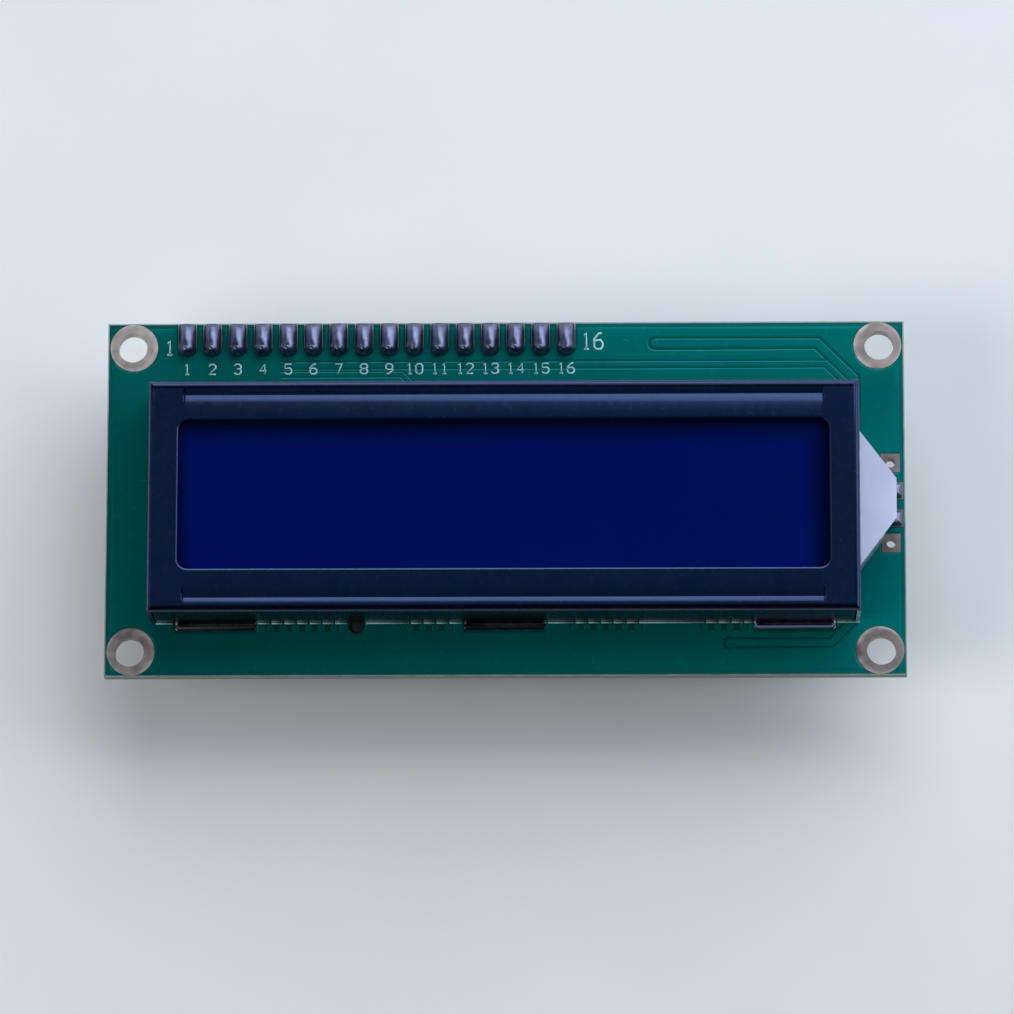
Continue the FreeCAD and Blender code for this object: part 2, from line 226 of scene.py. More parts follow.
def layLines(routes, width, inner, outer, flare=0.0, closed=False):
    # every route becomes a flat strip along its points, all in one mesh
    profile = stripProfile(width, inner, outer, flare)
    shape = bpy.data.curves.new("lines", "CURVE")
    shape.dimensions = "3D"
    shape.twist_mode = "Z_UP"
    shape.bevel_mode = "OBJECT"
    shape.bevel_object = profile
    shape.use_fill_caps = True
    for route in routes:
        addSpline(shape, route, closed)
    strip = bpy.data.objects.new("lines", shape)
    bpy.context.collection.objects.link(strip)
    only(strip)
    bpy.ops.object.convert(target="MESH")
    strip = bpy.context.object
    remove(profile)
    mendNormals(strip)
    return strip


def inMetres(route):
    return [(x * mm, y * mm) for x, y in route]


# figures as a plotter draws them, on a grid four wide and six high
strokes = {
    "0": [[(1, 0), (3, 0), (4, 1.2), (4, 4.8), (3, 6), (1, 6), (0, 4.8), (0, 1.2), (1, 0)]],
    "1": [[(0.9, 5), (2, 6), (2, 0)], [(0.9, 0), (3.1, 0)]],
    "2": [[(0, 4.9), (1, 6), (3, 6), (4, 5), (4, 3.9), (0, 0), (4, 0)]],
    "3": [[(0, 5), (1, 6), (3, 6), (4, 5), (4, 4), (3, 3.2), (1.6, 3.2)],
          [(3, 3.2), (4, 2.3), (4, 1), (3, 0), (1, 0), (0, 1)]],
    "4": [[(3.1, 0), (3.1, 6), (0, 2), (4, 2)]],
    "5": [[(4, 6), (0.3, 6), (0, 3.4), (3, 3.6), (4, 2.6), (4, 1), (3, 0), (1, 0), (0, 1)]],
    "6": [[(3.6, 6), (2.2, 6), (0, 3.8), (0, 1), (1, 0), (3, 0), (4, 1), (4, 2.4), (3, 3.4),
           (1, 3.4), (0, 2.4)]],
    "7": [[(0, 6), (4, 6), (1.4, 0)]],
    "8": [[(1, 3.2), (0, 4), (0, 5), (1, 6), (3, 6), (4, 5), (4, 4), (3, 3.2), (1, 3.2), (0, 2.2),
           (0, 1), (1, 0), (3, 0), (4, 1), (4, 2.2), (3, 3.2)]],
    "9": [[(0.4, 0), (1.8, 0), (4, 2.2), (4, 5), (3, 6), (1, 6), (0, 5), (0, 3.6), (1, 2.6),
           (3, 2.6), (4, 3.6)]],
}
figureGrid = {"high": 6, "step": 5.6, "gap": 1.6}


def figureRoutes(words, x, base, height, behind=False, slim=1.0):
    # centred on x; behind mirrors them, for reading from the back of the board
    unit = height / figureGrid["high"]
    step = figureGrid["step"] * unit * slim
    start = -(len(words) * step - figureGrid["gap"] * unit * slim) / 2
    way = -1 if behind else 1
    routes = []
    for place, letter in enumerate(words):
        for stroke in strokes[letter]:
            routes.append([(x + way * (start + place * step + a * unit * slim), base + b * unit)
                           for a, b in stroke])
    return routes


def cutAway(piece, cutters):
    # all cutters are taken out of the piece in one go
    group = bpy.data.collections.new("cutters")
    for cutter in cutters:
        group.objects.link(cutter)
    modifier = piece.modifiers.new("cut", "BOOLEAN")
    modifier.operation = "DIFFERENCE"
    modifier.solver = "EXACT"
    modifier.operand_type = "COLLECTION"
    modifier.collection = group
    applyAll(piece)
    for cutter in cutters:
        remove(cutter)
    bpy.data.collections.remove(group)
    return piece


# building finishes from nodes

class Finish:
    # one Principled surface and the nodes that vary it over the piece
    def __init__(self, name, colour, rough, metal=0.0, **sockets):
        self.material = bpy.data.materials.new(name)
        self.material.use_nodes = True
        self.tree = self.material.node_tree
        self.shader = self.tree.nodes["Principled BSDF"]
        self.place = self.add("ShaderNodeTexCoord").outputs["Object"]
        self.put("Base Color", (*colour, 1))
        self.put("Roughness", rough)
        self.put("Metallic", metal)
        for socket, value in sockets.items():
            self.put(socket.replace("_", " "), value)

    def add(self, kind, inputs=(), **settings):
        node = self.tree.nodes.new(kind)
        for key, value in settings.items():
            setattr(node, key, value)
        for key, value in dict(inputs).items():
            self.feed(node.inputs[key], value)
        return node

    def feed(self, socket, value):
        if isinstance(value, bpy.types.NodeSocket):
            self.tree.links.new(value, socket)
        else:
            socket.default_value = value

    def put(self, socket, value):
        self.feed(self.shader.inputs[socket], value)

    def math(self, operation, first, second=0.0):
        node = self.add("ShaderNodeMath", {0: first, 1: second}, operation=operation)
        return node.outputs[0]

    def times(self, first, *others):
        for other in others:
            first = self.math("MULTIPLY", first, other)
        return first

    def less(self, first, second):
        return self.math("SUBTRACT", first, second)

    def most(self, first, second):
        return self.math("MAXIMUM", first, second)

    def size(self, value):
        return self.math("ABSOLUTE", value)

    def over(self, value, limit):
        return self.math("GREATER_THAN", value, limit)

    def under(self, value, limit):
        return self.math("LESS_THAN", value, limit)

    def noise(self, scale, detail=3.0, rough=0.5, stretch=(1, 1, 1)):
        mapping = self.add("ShaderNodeMapping", {"Vector": self.place, "Scale": stretch})
        node = self.add("ShaderNodeTexNoise", {"Vector": mapping.outputs[0], "Scale": scale,
                                               "Detail": detail, "Roughness": rough})
        return node.outputs["Fac"]

    def cells(self, scale):
        node = self.add("ShaderNodeTexVoronoi", {"Vector": self.place, "Scale": scale})
        return node.outputs["Distance"]

    def spread(self, value, low, high, newLow=0.0, newHigh=1.0, smooth=False):
        node = self.add("ShaderNodeMapRange", {0: value, 1: low, 2: high, 3: newLow, 4: newHigh})
        if smooth:
            node.interpolation_type = "SMOOTHSTEP"
        return node.outputs[0]

    def drift(self, cloud, low, high):
        # from one number to the other as the noise goes
        return self.spread(cloud, 0.3, 0.7, low, high)

    def mix(self, amount, first, second, way="MIX"):
        node = self.add("ShaderNodeMix", data_type="RGBA", blend_type=way)
        self.feed(node.inputs["Factor"], amount)
        for key, value in ((6, first), (7, second)):
            self.feed(node.inputs[key], value if isinstance(value, bpy.types.NodeSocket)
                      else (*value, 1))
        return node.outputs[2]

    def blend(self, cloud, pair):
        # between a finish's two tones as the noise goes
        return self.mix(self.spread(cloud, 0.3, 0.7), *pair)

    def shade(self, colour, share):
        grey = self.add("ShaderNodeCombineColor", {0: share, 1: share, 2: share}).outputs[0]
        return self.mix(1.0, colour, grey, "MULTIPLY")

    def axes(self):
        return self.add("ShaderNodeSeparateXYZ", {0: self.place}).outputs

    def facing(self):
        # how far the surface faces each way
        normal = self.add("ShaderNodeNewGeometry").outputs["Normal"]
        return self.add("ShaderNodeSeparateXYZ", {0: normal}).outputs

    def bump(self, height, depth, strength=1.0):
        last = self.shader.inputs["Normal"]
        inputs = {"Height": height, "Distance": depth, "Strength": strength}
        if last.is_linked:
            inputs["Normal"] = last.links[0].from_socket
        self.put("Normal", self.add("ShaderNodeBump", inputs).outputs[0])

    def gloss(self, scale, low, high):
        self.put("Roughness", self.drift(self.noise(scale), low, high))

    def grained(self, pair, scale, depth=0.0, rough=None, detail=5.0):
        # colour drifts between two tones, with matching roughness and a fine grain
        cloud = self.noise(scale, detail)
        self.put("Base Color", self.blend(cloud, pair))
        if rough:
            self.put("Roughness", self.drift(cloud, *rough))
        if depth:
            self.bump(self.noise(scale * 6), depth)


# camera, light and floor

view = {"lens": 228.6, "sensor": 36.0, "place": (0.01604, -0.12188, 0.63245),
        "tiltX": 10.83, "tiltY": 1.41, "roll": -0.18}

bpy.ops.object.camera_add()
camera = bpy.context.object
camera.data.lens = view["lens"]
camera.data.sensor_width = view["sensor"]
turned = (Matrix.Rotation(math.radians(view["tiltX"]), 3, "X")
          @ Matrix.Rotation(math.radians(view["tiltY"]), 3, "Y")
          @ Matrix.Rotation(math.radians(view["roll"]), 3, "Z"))
camera.matrix_world = Matrix.Translation(view["place"]) @ turned.to_4x4()
bpy.context.scene.camera = camera

# each lamp's place, size, power and colour
lamps = {"key": ((0.20, 0.42, 0.40), (0.9, 0.46), 4.2, (0.86, 0.94, 1.0)),
         "side": ((0.34, 0.04, 0.20), (0.2, 0.2), 0.35, (0.86, 0.94, 1.0)),
         "fill": ((-0.42, -0.14, 0.36), (0.3, 0.3), 1.3, (1, 1, 1))}
studio = {"overheadColour": (0.030, 0.045, 0.085), "horizonColour": (0.84, 0.88, 0.95),
          "overheadFrom": 0.62, "horizonTo": 0.10, "brightSide": (0.30, 0.95, -0.10),
          "dimFrom": -0.3, "brightTo": 0.95, "dimmest": 0.12, "brightest": 1.5,
          "floorHalf": 2.5, "floorBelow": 0.01 * mm}

for place, size, power, colour in lamps.values():
    bpy.ops.object.light_add(type="AREA", location=place)
    lamp = bpy.context.object
    lamp.data.shape = "RECTANGLE"
    lamp.data.size, lamp.data.size_y = size
    lamp.data.energy = power
    lamp.data.color = colour
    lamp.rotation_euler = (-Vector(place)).to_track_quat("-Z", "Y").to_euler()

world = bpy.data.worlds.new("studio")
bpy.context.scene.world = world
world.use_nodes = True


def skyNode(kind, inputs, **settings):
    node = world.node_tree.nodes.new(kind)
    for key, value in settings.items():
        setattr(node, key, value)
    for key, value in inputs.items():
        if isinstance(value, bpy.types.NodeSocket):
            world.node_tree.links.new(value, node.inputs[key])
        else:
            node.inputs[key].default_value = value
    return node.outputs


# pale walls all round, brighter behind and to the right, under a dark ceiling
heading = skyNode("ShaderNodeTexCoord", {})["Generated"]
height = skyNode("ShaderNodeSeparateXYZ", {0: heading})["Z"]
wall = skyNode("ShaderNodeMapRange",
               {0: height, 1: studio["overheadFrom"], 2: studio["horizonTo"]},
               interpolation_type="SMOOTHSTEP")[0]
tone = skyNode("ShaderNodeMix", {0: wall, 6: (*studio["overheadColour"], 1),
                                 7: (*studio["horizonColour"], 1)}, data_type="RGBA")[2]
towards = skyNode("ShaderNodeVectorMath", {0: heading, 1: studio["brightSide"]},
                  operation="DOT_PRODUCT")["Value"]
strength = skyNode("ShaderNodeMapRange",
                   {0: towards, 1: studio["dimFrom"], 2: studio["brightTo"],
                    3: studio["dimmest"], 4: studio["brightest"]},
                   interpolation_type="SMOOTHSTEP")[0]
sky = world.node_tree.nodes["Background"]
world.node_tree.links.new(tone, sky.inputs["Color"])
world.node_tree.links.new(strength, sky.inputs["Strength"])

paper = Finish("floorPaper", (0.80, 0.81, 0.83), 0.75)
paper.grained(((0.79, 0.80, 0.82), (0.82, 0.83, 0.85)), 40, 2e-5)
bpy.ops.mesh.primitive_plane_add(size=2 * studio["floorHalf"],
                                 location=(0, 0, cadBox[0].z - studio["floorBelow"]))
floor = bpy.context.object
floor.name = "floor"
floor.data.materials.append(paper.material)
bpy.context.scene.view_settings.view_transform = "Standard"
print("camera, light and floor placed")


# finishes; most drift between two tones

tones = {"mask": ((0.0, 0.064, 0.063), (0.0, 0.071, 0.069)),
         "maskPaintedEdgeLight": ((0.0, 0.100, 0.102), (0.0, 0.116, 0.118)),
         "maskOnCopper": ((0.0, 0.116, 0.110), (0.0, 0.129, 0.121)),
         "laminate": ((0.30, 0.37, 0.33), (0.50, 0.54, 0.47)),
         "paint": ((0.0022, 0.0088, 0.030), (0.0028, 0.0102, 0.035)),
         "solder": ((0.090, 0.100, 0.175), (0.175, 0.190, 0.30)),
         "ink": ((0.31, 0.55, 0.62), (0.47, 0.69, 0.75)),
         "display": ((0.0, 0.0040, 0.082), (0.0004, 0.0058, 0.104)),
         "glass": ((0.30, 0.43, 0.48), (0.42, 0.55, 0.58)),
         "film": ((0.62, 0.66, 0.90), (0.70, 0.74, 0.95)),
         "rubber": ((0.02, 0.02, 0.025), (0.42, 0.44, 0.46)),
         "guide": ((0.56, 0.60, 0.84), (0.64, 0.68, 0.92)),
         "ledBody": ((0.74, 0.74, 0.72), (0.80, 0.80, 0.78)),
         "phosphor": ((0.78, 0.62, 0.10), (0.86, 0.72, 0.16)),
         "header": ((0.012, 0.012, 0.013), (0.022, 0.022, 0.024)),
         "peg": ((0.014, 0.011, 0.020), (0.026, 0.020, 0.034)),
         "epoxy": ((0.010, 0.010, 0.011), (0.020, 0.020, 0.022))}
# the board's screw holes, whose rings stand a little inward, and its wire pads
holes = {"x": 37.5 * mm, "y": 15.5 * mm, "ringShift": 0.15 * mm, "radius": 1.5 * mm}
wirePads = {"x": 38.54, "ys": (3.47, -4.67), "half": 0.95, "gap": 0.05, "hole": 0.5}
edges = {"paintedEdgeLight": 0.62 * mm, "bare": 0.12 * mm, "bottom": 0.6, "top": 0.9}
# painted light: how much darker the mask is on the left and lighter on the right
paintedSideLight = {"reach": 38 * mm, "left": 0.72, "right": 1.15}


def maskTone(look, pair, scale):
    # green that drifts between two tones, with painted light: lighter toward the right
    x, y, z = look.axes()
    cloud = look.noise(scale, 5)
    side = look.spread(x, -paintedSideLight["reach"], paintedSideLight["reach"],
                       paintedSideLight["left"], paintedSideLight["right"])
    return look.shade(look.blend(cloud, pair), side)


def boardFinish():
    # green mask on top and below, pale laminate at the cut edges
    look = Finish("maskOverLaminate", (0.0, 0.05, 0.045), 0.24, Specular_IOR_Level=0.3)
    x, y, z = look.axes()
    flat = look.over(look.size(look.facing()[2]), 0.7)
    inset = look.math("MINIMUM", look.less(boardHigh.x, look.size(x)),
                      look.less(boardHigh.y, look.size(y)))
    paintedEdgeLight = look.under(inset, edges["paintedEdgeLight"])      # painted light: the mask is paler near the edges, standing for light that comes through the laminate there
    green = look.mix(paintedEdgeLight, maskTone(look, tones["mask"], 260),
                     maskTone(look, tones["maskPaintedEdgeLight"], 260))
    layers = look.noise(9000, 3, 0.6, (0.05, 0.05, 1.0))
    fibre = look.mix(look.spread(layers, 0.35, 0.65), *tones["laminate"])
    # painted light and shade: the laminate's cut edges are darker toward the bottom and lighter
    # toward the top
    fibre = look.shade(fibre, look.spread(y, boardLow.y, boardHigh.y, edges["bottom"],
                                          edges["top"]))
    bare = look.most(look.under(inset, edges["bare"]), look.less(1.0, flat))
    look.put("Base Color", look.mix(bare, green, fibre))
    look.put("Roughness", look.spread(bare, 0, 1, 0.24, 0.62))
    look.bump(look.noise(2200), 3e-6)
    return look.material


def copperMaskFinish():
    # mask over the copper: brighter, glossy and slightly wavy like orange peel
    look = Finish("maskOverCopper", (0.0, 0.1, 0.095), 0.22, Specular_IOR_Level=0.35,
                  Specular_Tint=(0.08, 0.92, 1.0, 1.0))
    look.put("Base Color", maskTone(look, tones["maskOnCopper"], 120))
    look.gloss(700, 0.25, 0.28)
    look.bump(look.noise(900, 2), 1e-6)
    look.bump(look.noise(6000, 2), 1e-6)
    return look.material


tinVariation = {"low": 0.72, "reachY": 15 * mm, "reachX": 37 * mm, "left": 1.06, "right": 0.80,
           "wires": 0.80, "wiresWithin": 8 * mm,
           "rim": (0.80, 0.72, 0.70), "rimFrom": 2.0 * mm, "rimTo": 2.3 * mm, "rimEnd": 3 * mm}


def tinFinish(name, tone, rough, scale=900, varied=False):
    # dull tin with faint streaks and small pits
    look = Finish(name, tone, rough, 0.85)
    look.grained(([c * 0.86 for c in tone], [min(1, c * 1.1) for c in tone]), scale,
                 2.5e-6, (rough - 0.08, rough + 0.1))
    if varied:
        ageTin(look)
    look.bump(look.cells(5200), 2e-6, 0.5)
    return look.material


def ageTin(look):
    # darker toward the lower edge and toward the right, most of all on the wire pads
    x, y, z = look.axes()
    share = look.times(look.spread(y, -tinVariation["reachY"], tinVariation["reachY"], tinVariation["low"], 1.0),
                       look.spread(x, -tinVariation["reachX"], tinVariation["reachX"], tinVariation["left"],
                                   tinVariation["right"]),
                       look.spread(look.noise(300), 0.35, 0.65, 0.82, 1.14))
    wires = look.under(look.size(y), tinVariation["wiresWithin"])
    share = look.times(share, look.spread(wires, 0, 1, 1.0, tinVariation["wires"]))
    tone = look.shade(look.shader.inputs["Base Color"].links[0].from_socket, share)
    # a painted highlight: paler along the rings' rims
    fromX = look.less(look.size(x), holes["x"])
    fromY = look.less(look.size(y), holes["y"])
    away = look.math("SQRT", look.math("ADD", look.times(fromX, fromX), look.times(fromY, fromY)))
    rim = look.times(look.spread(away, tinVariation["rimFrom"], tinVariation["rimTo"], 0.0, 0.7),
                     look.spread(look.noise(420, 2), 0.35, 0.6),
                     look.under(away, tinVariation["rimEnd"]))
    look.put("Base Color", look.mix(rim, tone, tinVariation["rim"]))


def solderFinish():
    look = Finish("solder", (0.14, 0.15, 0.23), 0.30, 1.0)
    look.grained(tones["solder"], 1500, 2e-6, (0.30, 0.42))
    look.bump(look.cells(2600), 3e-6, 0.6)
    return look.material


# where the bezel has painted shade and painted highlights, and where its paint is gone
paintwork = {"wallBelow": -12.3 * mm, "wallUnder": 6.2 * mm, "wall": (0.0006, 0.0040, 0.0060),
             "lowFold": (-11.9 * mm, -12.1 * mm), "highFold": (9.85 * mm, 9.95 * mm),
             "highFoldEnd": (10.3 * mm, 10.2 * mm), "paintedFoldShade": (0.0004, 0.0010, 0.0040),
             "lowRim": (-9.2 * mm, -7.9 * mm), "rim": (0.036, 0.062, 0.125),
             "rightRim": 32.2 * mm, "rightRimHalf": 0.8 * mm, "rightRough": 0.75,
             "chippedFrom": -1.15 * mm, "chippedTo": -0.75 * mm, "steel": (0.72, 0.75, 0.80),
             "endFrom": 34.93 * mm, "endBelow": -12.02 * mm, "endUnder": 6.1 * mm,
             "end": (0.44, 0.50, 0.58)}


def bezelFinish():
    # stoved black paint on steel
    look = Finish("bezelPaint", (0.002, 0.008, 0.030), 0.24, Specular_IOR_Level=1.0,
                  Specular_Tint=(0.27, 0.37, 0.82, 1.0))
    x, y, z = look.axes()
    across, along, up = look.facing()
    paint = look.blend(look.noise(300, 4), tones["paint"])
    low = look.times(look.under(y, paintwork["wallBelow"]), look.under(z, paintwork["wallUnder"]))
    paint = look.mix(low, paint, paintwork["wall"])      # painted shade on the lower wall
    deep = look.most(look.times(look.spread(y, *paintwork["lowFold"]),
                                look.over(z, paintwork["wallUnder"])),
                     look.times(look.spread(y, *paintwork["highFold"]),
                                look.spread(y, *paintwork["highFoldEnd"])))
    paint = look.mix(deep, paint, paintwork["paintedFoldShade"])     # painted shade on the strips by the folds
    # painted highlight: the window's lower rim is paler; its right rim is rougher, so duller
    start, end = paintwork["lowRim"]
    paintedLowRim = look.times(look.spread(along, 0.12, 0.45), look.under(y, end), look.over(y, start))
    paint = look.mix(paintedLowRim, paint, paintwork["rim"])
    dull = look.times(look.spread(across, -0.12, -0.4),
                      look.under(look.size(look.less(x, paintwork["rightRim"])),
                                 paintwork["rightRimHalf"]))
    # the paint has flaked off where the tabs are bent under the board
    worn = look.spread(z, paintwork["chippedFrom"], paintwork["chippedTo"], 1.0, 0.0)
    chips = look.spread(look.noise(1900), 0.42, 0.52)
    worn = look.times(worn, look.spread(chips, 0, 1, 0.75, 1.0))
    # a painted highlight on one end of the lower wall, pale where the sheet was cut to bare steel
    # at the corner
    ends = look.times(look.over(x, paintwork["endFrom"]), look.under(y, paintwork["endBelow"]),
                      look.under(z, paintwork["endUnder"]))
    paint = look.mix(ends, paint, paintwork["end"])
    look.put("Base Color", look.mix(worn, paint, paintwork["steel"]))
    look.put("Metallic", worn)
    rough = look.drift(look.noise(1500), 0.21, 0.28)
    look.put("Roughness", look.most(rough, look.times(dull, paintwork["rightRough"])))
    look.bump(look.noise(4500), 0.6e-6)
    return look.material


def silkFinish():
    look = Finish("silkInk", (0.62, 0.74, 0.78), 0.55)
    look.grained(tones["ink"], 2500, 3e-6, (0.45, 0.65))
    return look.material


# how far the painted shadow reaches in from the window's edges
paintedShadows = {"top": (3.9 * mm, 6.6 * mm), "right": (29.2 * mm, 32.2 * mm),
           "left": (-30.6 * mm, -32.3 * mm), "leftShare": 0.5, "share": 0.92,
           "tone": (0.0, 0.0022, 0.016)}


def displayFinish():
    # deep blue liquid crystal seen through its clear film, with a painted shadow by the window's
    # edges
    look = Finish("displayFilm", (0.0, 0.004, 0.085), 0.12, Specular_IOR_Level=0.22)
    x, y, z = look.axes()
    blue = look.mix(look.spread(look.noise(45), 0.25, 0.75), *tones["display"])
    fromTop = look.spread(y, *paintedShadows["top"], 0.0, 1.0, True)
    fromRight = look.spread(x, *paintedShadows["right"], 0.0, 1.0, True)
    fromLeft = look.spread(x, *paintedShadows["left"], 0.0, paintedShadows["leftShare"], True)
    # painted shadow of the window's rim along the top, right and left
    edge = look.times(look.most(look.most(fromTop, fromRight), fromLeft), paintedShadows["share"])
    look.put("Base Color", look.mix(edge, blue, paintedShadows["tone"]))
    look.put("Roughness", look.drift(look.noise(2500, 2), 0.08, 0.16))
    look.bump(look.noise(7000, 2), 1.2e-7)
    return look.material


def glassFinish():
    look = Finish("cellGlass", (0.35, 0.48, 0.52), 0.08, Specular_IOR_Level=0.5,
                  Transmission_Weight=0.35)
    look.grained(tones["glass"], 200, 0.0, (0.05, 0.12))
    return look.material


def filmFinish():
    # milky white film with a faint satin grain
    look = Finish("whiteFilm", (0.52, 0.57, 0.78), 0.42, Specular_IOR_Level=0.4)
    look.put("Base Color", look.blend(look.noise(160, 4), tones["film"]))
    look.gloss(1800, 0.36, 0.5)
    look.bump(look.noise(5000, 2), 1e-6)
    return look.material


beadTin = {"brightFrom": 10 * mm, "brightTo": 24 * mm, "paintedBright": (0.30, 0.42, 0.74),
           "greyFrom": -32 * mm, "greyTo": -25 * mm, "share": 0.26,
           "paintedDark": (0.010, 0.014, 0.022), "grey": (0.40, 0.48, 0.52)}


def beadFinish():
    # tin along the slots, with painted light and shade: bright on the right, dark in the middle
    # and greyer toward the left
    look = Finish("slotTin", (0.5, 0.5, 0.5), 0.5, 0.35)
    x, y, z = look.axes()
    right = look.spread(x, beadTin["brightFrom"], beadTin["brightTo"])
    left = look.spread(x, beadTin["greyFrom"], beadTin["greyTo"], beadTin["share"], 0.0)
    paintedShadeTone = look.mix(left, beadTin["paintedDark"], beadTin["grey"])
    look.put("Base Color", look.mix(right, paintedShadeTone, beadTin["paintedBright"]))
    look.gloss(1600, 0.4, 0.6)
    look.bump(look.noise(2400), 6e-6)
    return look.material


def moulded(name, pair, rough, scale=900, depth=3e-6, **sockets):
    look = Finish(name, pair[0], rough, **sockets)
    look.grained(pair, scale, depth, (rough - 0.05, rough + 0.08))
    return look.material


def rubberFinish():
    # zebra strip: thin dark carbon layers between pale silicone
    look = Finish("connectorRubber", (0.3, 0.3, 0.3), 0.6)
    x, y, z = look.axes()
    wave = look.math("SINE", look.times(x, 2 * math.pi / (0.18 * mm)))
    look.put("Base Color", look.mix(look.spread(wave, -0.2, 0.2), *tones["rubber"]))
    look.bump(look.noise(3000, 2), 2e-6)
    return look.material


def chipFinish(name, body, along, ends):
    # ceramic body with tinned ends
    look = Finish(name, body, 0.4)
    spot = look.axes()[along]
    tone = look.blend(look.noise(3000), ([c * 0.8 for c in body], body))
    tin = look.most(look.under(spot, ends[0]), look.over(spot, ends[1]))
    look.put("Base Color", look.mix(tin, tone, (0.62, 0.62, 0.64)))
    look.put("Metallic", tin)
    look.put("Roughness", look.spread(tin, 0, 1, 0.45, 0.3))
    look.bump(look.noise(5000, 2), 1.5e-6)
    return look.material


finish = {
    "board": boardFinish(),
    "copper": copperMaskFinish(),
    "ring": tinFinish("tinnedPad", (0.50, 0.425, 0.405), 0.46, 900, True),
    "solder": solderFinish(),
    "pin": tinFinish("pinMetal", (0.72, 0.70, 0.66), 0.28, 1800),
    "bezel": bezelFinish(),
    "silk": silkFinish(),
    "display": displayFinish(),
    "glass": glassFinish(),
    "film": filmFinish(),
    "guide": moulded("clearGuide", tones["guide"], 0.15, 200, 0.0, Transmission_Weight=0.4),
    "rubber": rubberFinish(),
    "ledBody": moulded("ledWhite", tones["ledBody"], 0.4),
    "phosphor": moulded("phosphorYellow", tones["phosphor"], 0.5),
    "header": moulded("headerBlack", tones["header"], 0.42),
    "bead": beadFinish(),
    "peg": moulded("pegPlastic", tones["peg"], 0.45),
    "epoxy": moulded("epoxyBlack", tones["epoxy"], 0.22, 350, 6e-6, Coat_Weight=0.3,
                     Coat_Roughness=0.1),
}
print("finishes mixed,", len(finish))


# the carried pieces take their finishes

carried = {
    "circuit_board": "board", "mounting_pads": "ring", "backlight_pads": "ring",
    "front_polariser": "display", "rear_polariser": "display", "front_glass": "glass",
    "rear_glass": "glass", "diffuser_film": "film", "reflector_film": "film",
    "neck_film": "film", "light_guide": "guide", "upper_connector_strip": "rubber",
    "lower_connector_strip": "rubber", "backlight_led": "ledBody", "led_phosphor": "phosphor",
    "led_terminals": "pin", "header_strip": "header",
}
pinPlaces = []
for pin in range(1, 17):
    carried[f"header_pin_{pin:02d}"] = "pin"
    low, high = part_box(f"header_pin_{pin:02d}")
    pinPlaces.append(((low.x + high.x) / 2, (low.y + high.y) / 2))
for name, kind in carried.items():
    dress(nodes[name], finish[kind])

# how many of each chip part, the body's colour and the length of its tinned ends
chipKinds = {"chip_resistor": (6, (0.016, 0.016, 0.018), 0.32 * mm),
             "chip_capacitor": (2, (0.42, 0.31, 0.20), 0.42 * mm)}
chipNames = []


def chipBox(name):
    # the part's corners and the axis that it lies along
    low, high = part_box(name)
    return low, high, 0 if high.x - low.x > high.y - low.y else 1


for kind, (count, body, cap) in chipKinds.items():
    for number in range(1, count + 1):
        name = f"{kind}_{number}"
        low, high, along = chipBox(name)
        ends = (low[along] + cap, high[along] - cap)
        dress(nodes[name], chipFinish(name + "Finish", body, along, ends))
        chipNames.append(name)
print("carried pieces finished")


# the mask over the copper, with its clearances

mask = {"fromEdge": 0.5 * mm, "top": 0.035 * mm, "slope": 0.13 * mm, "sunk": 0.005 * mm,
        "over": 0.03 * mm, "ringRadius": 2.4 * mm, "ringGap": 0.06 * mm, "padHalf": 1.05 * mm,
        "padShift": 0.12 * mm, "viaGap": 0.66 * mm, "pegGap": 0.85 * mm, "stub": 0.3 * mm,
        "stubEnd": -12.0, "stubSlope": 0.6, "smooth": 12}
viaRows = {"y": -13.1, "starts": (-23.37, -9.44, 6.97, 19.97), "counts": (6, 4, 6, 4),
           "pitch": 1.27, "beside": 0.5, "clearance": (-13.45, -12.2)}
# width, gap to the copper round it, then the points
runs = {"upper": (0.72, 0.2, [(14.98, 15.8), (31.3, 15.8), (34.9, 12.2), (34.9, 9.0)]),
        "inner": (0.42, 0.1, [(-22.6, 13.66), (32.2, 13.66), (33.9, 11.96), (33.9, 9.0)]),
        "legend": (0.3, 0.05, [(-22.6, 12.72), (-10.4, 12.72), (-9.0, 11.32), (-9.0, 9.0)]),
        "lower": (0.5, 0.2, [(22.33, -14.72), (32.5, -14.72), (34.6, -12.6), (34.6, -9.0)])}
# the first two stand at the ends of runs
soloVias = ((14.98, 15.8), (22.33, -14.72), (-36.2, 1.6), (12.0, 15.85), (27.4, -15.95),
            (31.96, -15.89))
slots = {"xs": (-28.9, 0, 28.9), "ys": (11.1, -12.9), "half": 4.16, "near": 0.72, "far": 0.7}
lampGap = {"x": (38.15, 40.5), "y": (-3.15, 1.65)}
peg = {"x": -14.8 * mm, "y": -12.91 * mm, "radius": 0.74 * mm, "low": -1.2 * mm,
       "high": -0.32 * mm, "ease": 0.14 * mm}


def mountPlaces():
    for sideX in (-1, 1):
        for sideY in (-1, 1):
            yield sideX * (holes["x"] - holes["ringShift"]), sideY * holes["y"]


def viaPlaces():
    for start, count in zip(viaRows["starts"], viaRows["counts"]):
        for step in range(count):
            yield start + step * viaRows["pitch"], viaRows["y"]


def spreadTop(piece, amount):
    # the upper end grows sideways by the amount, so that the sides slope
    points = [point.co.copy() for point in piece.data.vertices]
    top = max(point.z for point in points)
    spans = [(min(p[axis] for p in points), max(p[axis] for p in points)) for axis in (0, 1)]
    for point in piece.data.vertices:
        if point.co.z > top - 1e-7:
            for axis, (low, high) in enumerate(spans):
                middle = (low + high) / 2
                growth = 1 + 2 * amount / (high - low)
                point.co[axis] = middle + (point.co[axis] - middle) * growth
    return piece


